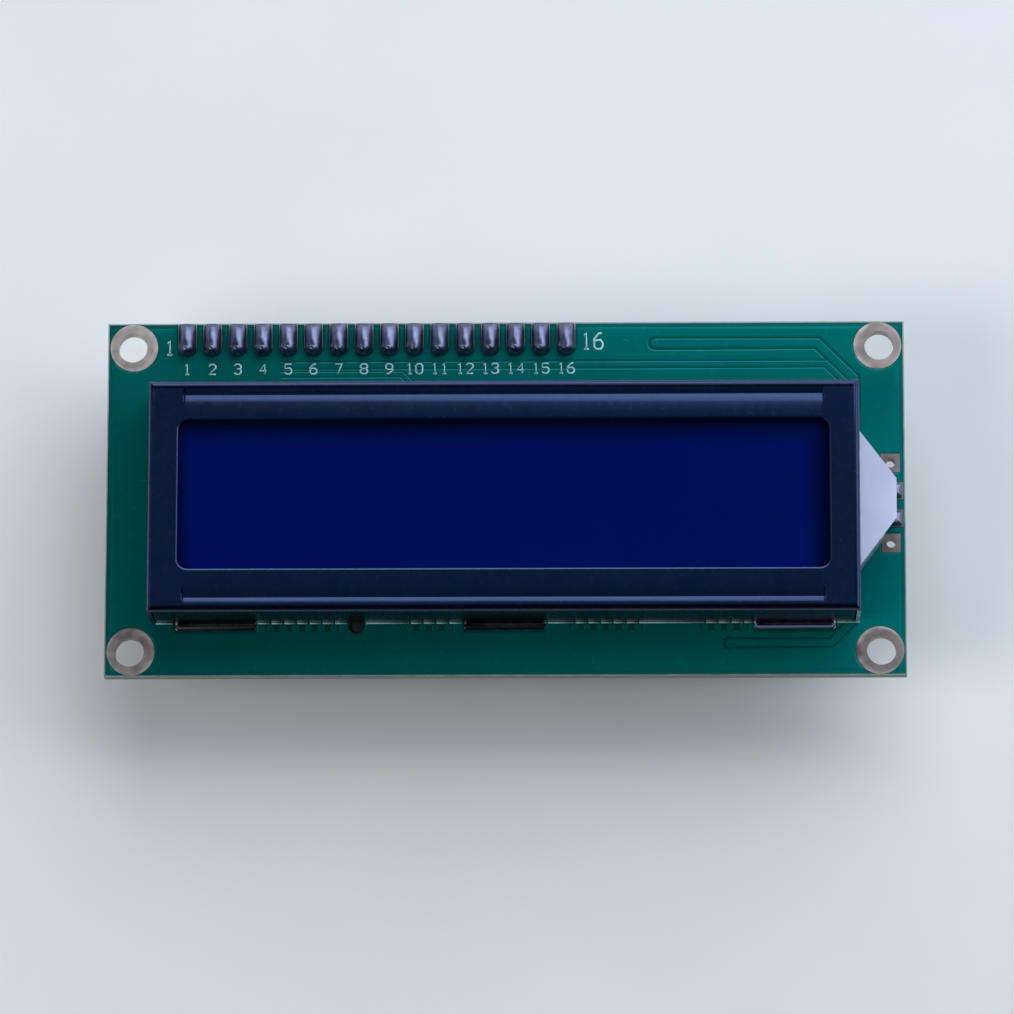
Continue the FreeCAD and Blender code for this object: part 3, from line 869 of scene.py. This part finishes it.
def makeCopper():
    low, high = boardLow, boardHigh
    edge, slope = mask["fromEdge"], mask["slope"]
    foot, top = high.z - mask["sunk"], high.z + mask["top"]
    slab = addBlock((low.x + edge, low.y + edge, foot), (high.x - edge, high.y - edge, top))
    spreadTop(slab, -1.5 * slope)
    deep, tall = high.z - mask["over"], top + mask["over"]
    steep = slope / mask["top"] * (tall - deep)     # the same slope over the cutters' height
    shrink = slope / mask["top"] * mask["over"]     # so that they are true at the board's face
    cutters = []

    def cutBlock(left, right, near, far):
        cutters.append(spreadTop(addBlock((left + shrink, near + shrink, deep),
                                          (right - shrink, far - shrink, tall)), steep))

    def cutDrum(x, y, radius, sides=48):
        cutters.append(spreadTop(addDrum(x, y, deep, tall, radius - shrink, sides), steep))

    for x, y in mountPlaces():
        cutDrum(x, y, mask["ringRadius"] + mask["ringGap"])
    for x, y in pinPlaces:
        middle = y + mask["padShift"]
        cutDrum(x, middle, mask["padHalf"], 32)
        cutBlock(x - mask["padHalf"], x + mask["padHalf"], middle, high.y + mm)
    for width, gap, route in runs.values():
        outer = (width + 2 * gap) * mm + 2 * slope + 2 * (steep - shrink)
        cutters.append(layLines([inMetres(route)], outer, deep, tall, -steep))
    for x, y in soloVias[:2]:
        cutDrum(x * mm, y * mm, mask["viaGap"], 24)
    near, far = viaRows["clearance"]
    for start, count in zip(viaRows["starts"], viaRows["counts"]):
        cutBlock((start - viaRows["beside"]) * mm,
                 (start + (count - 1) * viaRows["pitch"] + viaRows["beside"]) * mm,
                 near * mm, far * mm)
    for y in slots["ys"]:
        for x in slots["xs"]:
            cutBlock((x - slots["half"]) * mm, (x + slots["half"]) * mm,
                     (y - slots["near"]) * mm, (y + slots["far"]) * mm)
    cutDrum(peg["x"], peg["y"], mask["pegGap"], 32)
    x, reach = wirePads["x"], wirePads["half"] + wirePads["gap"]
    for y in wirePads["ys"]:
        cutBlock((x - reach) * mm, (x + reach) * mm, (y - reach) * mm, (y + reach) * mm)
    cutBlock(*(edge * mm for edge in (*lampGap["x"], *lampGap["y"])))
    cutAway(slab, cutters)
    parts = [slab]
    for width, gap, route in runs.values():
        parts.append(layLines([inMetres(route)], width * mm, foot, top, slope))
    stubs = [inMetres([(x, y), (x, mask["stubEnd"])]) for x, y in viaPlaces()]
    parts.append(layLines(stubs, mask["stub"], foot, top, slope * mask["stubSlope"]))
    whole = joinPieces(parts)
    smoothBy(whole, mask["smooth"])
    fit(whole, "frontCopper", finish["copper"], "board_green")


makeCopper()
print("front copper cut")


# the bezel: the same folded sheet, with its edges eased

bezelEdges = {"merge": 0.002 * mm, "flat": 1.0, "ease": 0.07 * mm, "sharpFrom": 34,
              "roundFrom": 20, "steps": 2, "grooveHalf": 0.8 * mm, "grooveEnd": 31.15 * mm,
              "grooveDepth": 0.4 * mm, "floorHalf": 0.55 * mm, "floorLeft": 0.06 * mm,
              "endSquare": 0.4, "grooveRound": 0.12 * mm, "grooveSteps": 3,
              "rimX": 32.6 * mm, "rimY": (-8.6 * mm, 7.0 * mm), "rimDepth": 0.2 * mm,
              "rimRound": 0.2 * mm, "rimSteps": 3, "faceWeight": 100}
# where the two grooves run, how far their bottom lines are moved and how far raised
grooves = ((-11.01 * mm, -0.12 * mm, 0.085 * mm), (9.15 * mm, 0.16 * mm, 0.06 * mm))


def grooveArm(point, middle):
    # from the groove's middle line to the point, at a right angle
    past = math.copysign(max(0, abs(point.x) - bezelEdges["grooveEnd"]), point.x)
    return Vector((past, point.y - middle, 0))


def inGroove(point, deeper=0.02 * mm, wider=0.03 * mm):
    # whether a point is on the outer side of one of the two pressed grooves
    return (point.z > bezelHigh.z - bezelEdges["grooveDepth"] - deeper
            and any(grooveArm(point, middle).length < bezelEdges["grooveHalf"] + wider
                    for middle, shift, raised in grooves))


def onRim(point):
    # whether a point is on the upper edge of the window
    low, high = bezelEdges["rimY"]
    return (point.z > bezelHigh.z - bezelEdges["rimDepth"]
            and abs(point.x) < bezelEdges["rimX"] and low < point.y < high)


def squareEnds(mesh):
    # the grooves' round ends are pressed squarer, so that their sides run on nearly to the end
    start = bezelEdges["grooveEnd"]
    end = start + bezelEdges["grooveHalf"]
    for point in mesh.vertices:
        spot = abs(point.co.x)
        if (start - 0.002 * mm < spot < end + 0.002 * mm
                and inGroove(point.co, 0.01 * mm, 0.02 * mm)):
            point.co.x = math.copysign(end - (end - spot) * bezelEdges["endSquare"], point.co.x)


def narrowFloors(mesh):
    # the grooves' flat floors are drawn in to a line and up, so that their sides are long slopes
    for point in mesh.vertices:
        if abs(point.co.z - (bezelHigh.z - bezelEdges["grooveDepth"])) < 0.01 * mm:
            for middle, shift, raised in grooves:
                arm = grooveArm(point.co, middle)
                if arm.length < bezelEdges["floorHalf"] + 0.02 * mm:
                    drawn = arm.y * (1 - bezelEdges["floorLeft"] / bezelEdges["floorHalf"])
                    point.co += Vector((0, shift - drawn, raised))
                    break


def roundSharp(shell, test, radius, steps):
    # sharp edges that pass the test are rounded
    with editing(shell):
        bpy.ops.mesh.select_mode(type="EDGE")
        bpy.ops.mesh.select_all(action="DESELECT")
        bpy.ops.mesh.edges_select_sharp(sharpness=math.radians(bezelEdges["roundFrom"]))
    mesh = shell.data
    chosen = [edge.select and all(test(mesh.vertices[i].co) for i in edge.vertices)
              for edge in mesh.edges]
    deselectMesh(mesh)
    for edge, take in zip(mesh.edges, chosen):
        edge.select = take
    with editing(shell):
        bpy.ops.mesh.bevel(offset=radius, segments=steps, affect="EDGES", clamp_overlap=True)


def makeBezel():
    mesh = nodes["bezel"].data.copy()
    shell = bpy.data.objects.new("bezelShell", mesh)
    bpy.context.collection.objects.link(shell)
    with editing(shell, True):
        bpy.ops.mesh.remove_doubles(threshold=bezelEdges["merge"])
        bpy.ops.mesh.dissolve_limited(angle_limit=math.radians(bezelEdges["flat"]))
    narrowFloors(mesh)
    squareEnds(mesh)
    roundSharp(shell, inGroove, bezelEdges["grooveRound"], bezelEdges["grooveSteps"])
    roundSharp(shell, onRim, bezelEdges["rimRound"], bezelEdges["rimSteps"])
    if mesh.has_custom_normals:
        bpy.ops.mesh.customdata_custom_splitnormals_clear()
    rounding = shell.modifiers.new("ease", "BEVEL")
    rounding.width = bezelEdges["ease"]
    rounding.segments = bezelEdges["steps"]
    rounding.limit_method = "ANGLE"
    rounding.angle_limit = math.radians(bezelEdges["sharpFrom"])
    rounding.use_clamp_overlap = True
    applyAll(shell)
    smoothBy(shell, bezelEdges["sharpFrom"])
    faces = shell.modifiers.new("faces", "WEIGHTED_NORMAL")
    faces.weight = bezelEdges["faceWeight"]
    faces.keep_sharp = True
    applyAll(shell)
    fit(shell, "bezelShell", finish["bezel"], "bezel_black", "bezel")


makeBezel()
print("bezel eased")


# solder joints over the header pins

joint = {"half": 0.9 * mm, "peak": 15.42 * mm, "near": 14.56 * mm, "rise": 1.54 * mm,
         "around": 28, "up": 14, "vary": 0.02, "ripple": 0.035 * mm,
         "nub": 0.3 * mm, "nubFlat": 0.45, "nubY": 15.24 * mm, "nubHeight": 1.4 * mm,
         # toward the board's edge: how far, the height left there and the width
         "stations": ((15.9, 1.0, 1.0), (16.3, 0.95, 1.0), (16.8, 0.84, 1.0), (17.3, 0.68, 0.98),
                      (17.84, 0.44, 0.92)),
         "rippleSize": 0.9 * mm, "rippleFull": 0.5 * mm}


def ripple(piece, amount, seed):
    # molten metal is never quite even; the foot stays put
    for point in piece.data.vertices:
        share = max(0, min(1, abs(point.co.z) / joint["rippleFull"]))
        point.co += noise.noise_vector(point.co / joint["rippleSize"] + seed) * amount * share


def makeJoint(x, chance):
    # half a ball below the pin, drawn out toward the board's edge, where it is lower
    bpy.ops.mesh.primitive_uv_sphere_add(segments=joint["around"], ring_count=joint["up"],
                                         radius=1)
    ball = bpy.context.object
    cutAway(ball, [addBlock((-2, -2, -2), (2, 2, 0)), addBlock((-2, 0, -2), (2, 2, 2))])
    selectFaces(ball, lambda normal: normal.y > 0.99)
    reach = joint["peak"] - joint["near"]
    here, left, across = joint["peak"], 1.0, 1.0
    with editing(ball):
        for y, height, width in joint["stations"]:
            extrude(0, (y * mm - here) / reach, 0)
            resize(width / across, 1, height / left, (0, 0, 0))
            here, left, across = y * mm, height, width
    ball.scale = (joint["half"], reach, joint["rise"] * (1 + chance.uniform(-joint["vary"], 0)))
    ball.location = (x, joint["peak"], 0)
    bakePlace(ball)
    ripple(ball, joint["ripple"], Vector((chance.uniform(0, 9), 0, 0)))
    # the pin's tip shows as a small knob
    bpy.ops.mesh.primitive_uv_sphere_add(segments=16, ring_count=10, radius=joint["nub"],
                                         location=(x, joint["nubY"], joint["nubHeight"]))
    knob = bpy.context.object
    knob.scale.z = joint["nubFlat"]
    bakePlace(knob)
    return joinPieces([ball, knob])


def makeSolder():
    chance = random.Random(16)
    whole = joinPieces([makeJoint(x, chance) for x, y in pinPlaces])
    smoothBy(whole, 60)
    fit(whole, "headerJoints", finish["solder"], "solder", "header_solder")


makeSolder()
print("header soldered")


# pads, rings and barrels

pad = {"thick": 0.04 * mm, "width": 1.84 * mm, "near": 14.64 * mm, "far": 17.86 * mm,
       "bottomRound": 0.9 * mm, "sunk": 0.005 * mm}
barrel = {"above": 0.045 * mm, "half": 0.03 * mm}
backZ = boardLow.z
frontPad = (boardHigh.z - pad["sunk"], boardHigh.z + pad["thick"])
backPad = (backZ - pad["thick"], backZ + pad["sunk"])


def roundUprights(block, test, radius, segments):
    # the block's upright edges that pass the test are rounded
    selectEdges(block, lambda a, b: abs(a.z - b.z) > 1e-6 and test(a))
    with editing(block):
        bpy.ops.mesh.bevel(offset=radius, segments=segments, affect="EDGES")


def makePad(x, low, high):
    # square toward the board's edge, round toward the middle
    half = pad["width"] / 2
    block = addBlock((x - half, pad["near"], low), (x + half, pad["far"], high))
    roundUprights(block, lambda a: a.y < pad["near"] + 1e-6, pad["bottomRound"], 7)
    return block


def boredWith(piece, x, y, radius, sides):
    return cutAway(piece, [addDrum(x, y, backZ - mm, backZ + mm, radius, sides)])


def makeBarrel(x, y, radius, sides):
    return addRing(x, y, backPad[0], boardHigh.z + barrel["above"], radius + barrel["half"],
                   radius - barrel["half"], sides)


def makePads():
    for name, (low, high) in (("frontHeaderPads", frontPad), ("backHeaderPads", backPad)):
        pads = [makePad(x, low, high) for x, y in pinPlaces]
        fit(joinPieces(pads), name, finish["ring"], "tinned_pad")
    rings, barrels = [], []
    for x, y in mountPlaces():
        holeX = math.copysign(holes["x"], x)
        ring = addDrum(x, y, *backPad, mask["ringRadius"], 48)
        rings.append(boredWith(ring, holeX, y, holes["radius"], 48))
        barrels.append(makeBarrel(holeX, y, holes["radius"], 48))
    x, half = wirePads["x"] * mm, wirePads["half"] * mm
    for y in (y * mm for y in wirePads["ys"]):
        square = addBlock((x - half, y - half, backPad[0]), (x + half, y + half, backPad[1]))
        rings.append(boredWith(square, x, y, wirePads["hole"] * mm, 32))
        barrels.append(makeBarrel(x, y, wirePads["hole"] * mm, 32))
    fit(joinPieces(rings), "backRings", finish["ring"], "tinned_pad")
    tubes = joinPieces(barrels)
    smoothBy(tubes, 40)
    fit(tubes, "platedBarrels", finish["ring"], "tinned_pad")


makePads()
print("pads, rings and barrels made")


# solder over the LED's feet, beads along the lower slots, and the locating peg

footSolder = {"ys": (0.65, -2.15), "half": 0.78, "near": 38.32, "far": 39.72, "foot": 0.02 * mm,
              "base": 0.045, "rise": 0.62, "corner": 0.25 * mm, "ripple": 0.05 * mm,
              # share of the height, how far drawn in, moved and rounded
              "levels": ((0, 0, 0, 0), (0.18, 0.02, 0, 0.1), (0.5, 0.14, -0.04, 0.35),
                         (0.78, 0.32, -0.08, 0.7), (0.94, 0.5, -0.1, 1.0),
                         (1.0, 0.62, -0.1, 1.0))}
bead = {"half": 3.92, "y": -13.08, "end": -12.74, "corner": 0.26, "cornerCut": 0.3,
        "width": 0.17 * mm, "flare": 0.085 * mm, "low": -0.4 * mm, "high": 0.02 * mm}


def drawUp(block, levels, way=1):
    # the block's outer face is drawn out, narrowed and rounded, level by level, then smoothed
    selectFaces(block, lambda normal: normal.z * way > 0.9)
    with editing(block):
        before = levels[0]
        for level in levels[1:]:
            height, xLow, xHigh, yLow, yHigh, roundness = level
            extrude((xLow + xHigh - before[1] - before[2]) / 2,
                    (yLow + yHigh - before[3] - before[4]) / 2, height - before[0])
            resize((xHigh - xLow) / (before[2] - before[1]),
                   (yHigh - yLow) / (before[4] - before[3]), 1,
                   ((xLow + xHigh) / 2, (yLow + yHigh) / 2, 0))
            if roundness:
                bpy.ops.transform.tosphere(value=roundness)
            before = level
    swell = block.modifiers.new("smooth", "SUBSURF")
    swell.levels = swell.render_levels = 1
    applyAll(block)
    return block


def makeFootSolder():
    parts = []
    for y in footSolder["ys"]:
        levels = []
        for share, inset, shift, roundness in footSolder["levels"]:
            half = footSolder["half"] - inset
            levels.append(((footSolder["base"] + footSolder["rise"] * share) * mm,
                           (footSolder["near"] + inset + shift * 0.5) * mm,
                           (footSolder["far"] - inset + shift) * mm,
                           (y - half) * mm, (y + half) * mm, roundness))
        height, xLow, xHigh, yLow, yHigh, roundness = levels[0]
        block = addBlock((xLow, yLow, footSolder["foot"]), (xHigh, yHigh, height))
        roundUprights(block, lambda a: True, footSolder["corner"], 4)
        drawUp(block, levels)
        ripple(block, footSolder["ripple"], Vector((0, y, 0)))
        parts.append(block)
    whole = joinPieces(parts)
    smoothBy(whole, 80)
    fit(whole, "lampJoints", finish["solder"], "solder", "led_solder")


def makeBeads():
    ease, y, end = bead["corner"], bead["y"], bead["end"]
    cut = ease * bead["cornerCut"]
    routes = []
    for x in slots["xs"]:
        left, right = x - bead["half"], x + bead["half"]
        routes.append(inMetres([(left, end), (left, y + ease), (left + cut, y + cut),
                                (left + ease, y), (right - ease, y), (right - cut, y + cut),
                                (right, y + ease), (right, end)]))
    beads = layLines(routes, bead["width"], bead["low"], bead["high"], bead["flare"])
    smoothBy(beads, 60)
    fit(beads, "slotBeads", finish["bead"], "solder")


def makePeg():
    drum = addDrum(peg["x"], peg["y"], peg["low"], peg["high"], peg["radius"], 40)
    selectEdges(drum, lambda a, b: abs(a.z - b.z) < 1e-7)
    with editing(drum):
        bpy.ops.mesh.bevel(offset=peg["ease"], segments=3, affect="EDGES")
    smoothBy(drum, 50)
    fit(drum, "locatingPeg", finish["peg"], "header_black")


makeFootSolder()
makeBeads()
makePeg()
print("lamp soldered, slots beaded, peg set")


# vias under the mask

viaShape = {"outer": 0.40 * mm, "rim": 0.30 * mm, "dent": 0.14 * mm, "rise": 0.03 * mm,
            "fall": 0.027 * mm, "sides": 14, "sunk": 0.002 * mm}


def makeVia(x, y, base, way):
    # a small tented dome with a dent where the hole is
    via = addDisc(x, y, base, viaShape["outer"], viaShape["sides"])
    with editing(via, True):
        extrude(0, 0, viaShape["rise"] * way)
        share = viaShape["rim"] / viaShape["outer"]
        resize(share, share, 1, (x, y, base))
        extrude(0, 0, -viaShape["fall"] * way)
        share = viaShape["dent"] / viaShape["rim"]
        resize(share, share, 1, (x, y, base))
    return via


def makeVias():
    top = boardHigh.z + mask["top"] - viaShape["sunk"]
    whole = joinPieces([makeVia(x * mm, y * mm, top, 1) for x, y in (*viaPlaces(), *soloVias)])
    smoothBy(whole, 60)
    fit(whole, "frontVias", finish["copper"], "board_green")


makeVias()
print("vias tented")


# silkscreen on the front

ink = {"low": 0.028 * mm, "high": 0.047 * mm, "line": 0.14 * mm, "smallStroke": 0.155 * mm,
       "largeStroke": 0.19 * mm, "smallFigures": 1.02 * mm, "smallBase": 12.77 * mm}
# the fine line under the bezel, from where to where; it opens at each via's stub
outline = {"y": -12.66, "opening": 0.09,
           "stretches": ((-34.87, -33.15), (-24.65, -15.75), (-13.85, -4.3), (4.3, 24.6),
                         (33.1, 35.32))}
# figures beside the header: x, base, height and how slim
largeFigures = {"1": (-33.75, 14.78, 1.4, 1.0), "16": (8.75, 15.23, 1.62, 0.8)}


def makeSilk():
    low, high = boardHigh.z + ink["low"], boardHigh.z + ink["high"]
    y, opening = outline["y"], outline["opening"]
    lines, figures, large = [], [], []
    for start, end in outline["stretches"]:
        here = start
        for gap in sorted(x for x, y in viaPlaces()):
            if here < gap < end:
                lines.append([(here, y), (gap - opening, y)])
                here = gap + opening
        lines.append([(here, y), (end, y)])
    for number, (pinX, pinY) in enumerate(pinPlaces, 1):
        figures += figureRoutes(str(number), pinX, ink["smallBase"], ink["smallFigures"])
    for words, (x, base, tall, slim) in largeFigures.items():
        large += figureRoutes(words, x * mm, base * mm, tall * mm, False, slim)
    parts = [layLines([inMetres(line) for line in lines], ink["line"], low, high),
             layLines(figures, ink["smallStroke"], low, high),
             layLines(large, ink["largeStroke"], low, high)]
    fit(joinPieces(parts), "frontPrint", finish["silk"], "board_green")


makeSilk()
print("front printed")


# the back: epoxy over the two chips

# each ring's share of the radius and of the height
dome = {"rings": ((1.0, 0.0), (0.985, 0.16), (0.94, 0.40), (0.84, 0.66), (0.68, 0.86),
                  (0.46, 0.97), (0.20, 1.0)),
        "sides": 72, "wobble": 0.03, "wander": 1.4, "apart": 300, "sunk": 0.005 * mm}


def makeDome(node, name):
    low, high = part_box(node)
    x, y = (low.x + high.x) / 2, (low.y + high.y) / 2
    radius, height = (high.x - low.x) / 2, high.z - low.z
    drop = addDisc(x, y, high.z + dome["sunk"], radius, dome["sides"])
    with editing(drop, True):
        for before, after in zip(dome["rings"], dome["rings"][1:]):
            extrude(0, 0, (before[1] - after[1]) * height)
            resize(after[0] / before[0], after[0] / before[0], 1, (x, y, 0))
    for point in drop.data.vertices:
        # the poured edge wanders inward a little
        turn = math.atan2(point.co.y - y, point.co.x - x)
        wander = noise.noise(Vector((math.cos(turn) * dome["wander"] + x * dome["apart"],
                                     math.sin(turn) * dome["wander"], 0)))
        share = 1 - dome["wobble"] * (0.5 + 0.5 * wander)
        point.co.x = x + (point.co.x - x) * share
        point.co.y = y + (point.co.y - y) * share
    mendNormals(drop)
    smoothBy(drop, 60)
    fit(drop, name, finish["epoxy"], "epoxy_black", node)


makeDome("controller_epoxy", "controllerDrop")
makeDome("driver_epoxy", "driverDrop")
print("chips covered")


# solder and pads under the chip parts

fillet = {"out": 0.42 * mm, "under": 0.12 * mm, "side": 0.06 * mm, "rise": 0.72,
          "pad": 0.06 * mm, "sunk": 0.01 * mm, "taper": 0.05 * mm,
          # share of the height and how far drawn in toward the part
          "levels": ((0.0, 0.08), (0.35, 0.3), (0.7, 0.62), (1.0, 0.8))}


def makeFillet(low, high, along, sign):
    # a pad with solder that climbs one end of the part
    width = 1 - along
    end = high[along] if sign > 0 else low[along]
    near, far = end - sign * fillet["under"], end + sign * fillet["out"]
    spans = [None, None]
    spans[width] = (low[width] - fillet["side"], high[width] + fillet["side"])
    spans[along] = (min(near, far), max(near, far))
    face = backZ - fillet["pad"]
    tall = (high.z - low.z) * fillet["rise"]
    block = addBlock((spans[0][0], spans[1][0], face),
                     (spans[0][1], spans[1][1], backZ + fillet["sunk"]))
    levels = [(face, *spans[0], *spans[1], 0)]
    for share, drawn in fillet["levels"]:
        reach = [None, None]
        reach[along] = sorted((near, end + sign * fillet["out"] * (1 - drawn)))
        reach[width] = [spans[width][0] + fillet["taper"] * share,
                        spans[width][1] - fillet["taper"] * share]
        levels.append((face - tall * share, *reach[0], *reach[1], 0))
    return drawUp(block, levels, -1)


def makeChipSolder():
    parts = [makeFillet(*chipBox(name), sign) for name in chipNames for sign in (-1, 1)]
    whole = joinPieces(parts)
    smoothBy(whole, 60)
    fit(whole, "chipSolder", finish["solder"], "solder")


makeChipSolder()
print("chip parts soldered")


# traces on the back

trace = {"fine": 0.2 * mm, "wide": 0.4 * mm, "thick": 0.035 * mm, "slope": 0.05 * mm,
         "sunk": 0.005 * mm, "firstPin": 3, "lastPin": 13, "laneStart": -20.3,
         "lanePitch": 1.35, "jog": 0.3, "padY": 14.9, "middleY": -0.93,
         "laneHeights": (13.0, 13.4, 13.8, 14.1, 14.3, 14.4, 14.18, 13.96, 13.74, 13.52, 13.3),
         "vias": ((-32, 13.7), (-29.46, 13.7), (-26.92, 13.7), (-3.0, 5.6), (-1.4, 6.4),
                  (0.4, 5.6), (2.2, -7.4), (4.1, -6.6), (24.4, 8.4), (31.6, 4.2), (31.6, -6.8)),
         # supply lines from the last two pins to the wire pads
         "supply": ([(6.1, 15.0), (6.1, 14.25), (6.35, 14.0), (35.0, 14.0), (38.54, 10.5),
                     (38.54, 4.2)],
                    [(3.56, 15.0), (3.56, 13.65), (3.8, 13.42), (33.6, 13.42), (36.4, 10.6),
                     (36.4, -3.2), (37.8, -4.6)]),
         "stubs": 3, "stubEnds": (15.0, 13.75)}
# lanes beside the chips: how far apart, and where they slant and end
between = {"count": 7, "apart": 0.9}
toResistors = {"count": 6, "apart": 1.5, "spread": 2.4, "slant": 21.2, "end": 26.4}
toCapacitors = {"offsets": (-3.4, -1.6, 1.6, 3.4), "bend": -24.5, "end": -26.8}
controller = {"x": -13.5, "y": trace["middleY"], "r": 6.9}
driver = {"x": 13.0, "y": trace["middleY"], "r": 6.1}
# from each chip to a row of vias: how far the lanes are shifted and where they slant
bundles = ((controller, 4.2, -8.4), (controller, -3.4, -8.6), (driver, 0.6, -8.6),
           (driver, -5.2, -6.9))


def rimY(chip, x, way):
    return chip["y"] + way * math.sqrt(max(0, chip["r"] ** 2 - (x - chip["x"]) ** 2))


def rimX(chip, y, way):
    return chip["x"] + way * math.sqrt(max(0, chip["r"] ** 2 - (y - chip["y"]) ** 2))


def headerLanes():
    # from the header down to the controller
    for lane, pin in enumerate(range(trace["firstPin"], trace["lastPin"] + 1)):
        pinX = pinPlaces[pin][0] / mm
        laneX = trace["laneStart"] + lane * trace["lanePitch"]
        level = trace["laneHeights"][lane]
        jog = min(trace["jog"], abs(laneX - pinX) / 2)
        way = 1 if laneX > pinX else -1
        yield [(pinX, trace["padY"]), (pinX, level + jog), (pinX + way * jog, level),
               (laneX - way * jog, level), (laneX, level - jog),
               (laneX, rimY(controller, laneX, 1))]


def viaLanes():
    # from each chip down to the rows of vias, with one slanted stretch
    for row, (chip, shift, bend) in enumerate(bundles):
        for step in range(viaRows["counts"][row]):
            viaX = viaRows["starts"][row] + step * viaRows["pitch"]
            laneX = viaX + shift
            yield [(laneX, rimY(chip, laneX, -1)), (laneX, bend), (viaX, bend - abs(shift)),
                   (viaX, viaRows["y"])]


def spacedOut(count, apart):
    # distances from the middle, evenly apart
    return [(step - (count - 1) / 2) * apart for step in range(count)]


def sideLanes():
    # between the chips, and out to the chip parts on both sides
    middle = trace["middleY"]
    for offset in spacedOut(between["count"], between["apart"]):
        y = middle + offset
        yield [(rimX(controller, y, 1), y), (rimX(driver, y, -1), y)]
    slant, end = toResistors["slant"], toResistors["end"]
    for inner, outer in zip(*(spacedOut(toResistors["count"], toResistors[key])
                              for key in ("apart", "spread"))):
        near, far = middle + inner, middle + outer
        yield [(rimX(driver, near, 1), near), (slant, near), (slant + abs(far - near), far),
               (end, far)]
    for offset in toCapacitors["offsets"]:
        y = middle + offset
        yield [(rimX(controller, y, -1), y), (toCapacitors["bend"], y), (toCapacitors["end"], y)]


def makeBackTraces():
    inner, outer = backZ + trace["sunk"], backZ - trace["thick"]
    fine = [inMetres(route) for route in (*headerLanes(), *viaLanes(), *sideLanes())]
    wide = [inMetres(route) for route in trace["supply"]]
    for pinX, pinY in pinPlaces[:trace["stubs"]]:
        wide.append([(pinX, y * mm) for y in trace["stubEnds"]])
    parts = [layLines(fine, trace["fine"], inner, outer, trace["slope"]),
             layLines(wide, trace["wide"], inner, outer, trace["slope"])]
    for x, y in (*viaPlaces(), *soloVias, *trace["vias"]):
        parts.append(makeVia(x * mm, y * mm, outer + viaShape["sunk"], -1))
    whole = joinPieces(parts)
    mendNormals(whole)
    smoothBy(whole, 50)
    fit(whole, "backTraces", finish["copper"], "board_green")


makeBackTraces()
print("back traced")


# print on the back: rings round the chips, brackets and plain numbers

backInk = {"inner": backZ - 0.026 * mm, "outer": backZ - 0.048 * mm, "ringGap": 0.75,
           "ringSteps": 72, "bracketAside": 0.3 * mm, "bracketPast": 0.55 * mm,
           "figures": 1.0 * mm, "resistorX": 30.3 * mm, "capacitorX": -31.2 * mm,
           "large": {"1": -34.2 * mm, "16": 9.0 * mm}, "largeBase": 15.0 * mm,
           "largeFigures": 1.6 * mm}


def circleRoute(x, y, radius, steps):
    turns = [2 * math.pi * n / steps for n in range(steps)]
    return [(x + radius * math.cos(turn), y + radius * math.sin(turn)) for turn in turns]


def makeBackPrint():
    levels = backInk["inner"], backInk["outer"]
    rings = [circleRoute(chip["x"] * mm, chip["y"] * mm, (chip["r"] + backInk["ringGap"]) * mm,
                         backInk["ringSteps"]) for chip in (controller, driver)]
    brackets, figures = [], []
    for name in chipNames:
        low, high, along = chipBox(name)
        for sign in (-1, 1):
            side = (high if sign > 0 else low)[1 - along] + sign * backInk["bracketAside"]
            ends = (low[along] - backInk["bracketPast"], high[along] + backInk["bracketPast"])
            brackets.append([(end, side) if along == 0 else (side, end) for end in ends])
        figureX = backInk["resistorX" if "resistor" in name else "capacitorX"]
        figures += figureRoutes(name[-1], figureX,
                                (low.y + high.y) / 2 - backInk["figures"] / 2,
                                backInk["figures"], True)
    for words, x in backInk["large"].items():
        figures += figureRoutes(words, x, backInk["largeBase"], backInk["largeFigures"], True)
    parts = [layLines(rings, ink["line"], *levels, closed=True),
             layLines(brackets, ink["line"], *levels),
             layLines(figures, ink["smallStroke"], *levels)]
    fit(joinPieces(parts), "backPrint", finish["silk"], "board_green")


makeBackPrint()
print("back printed")
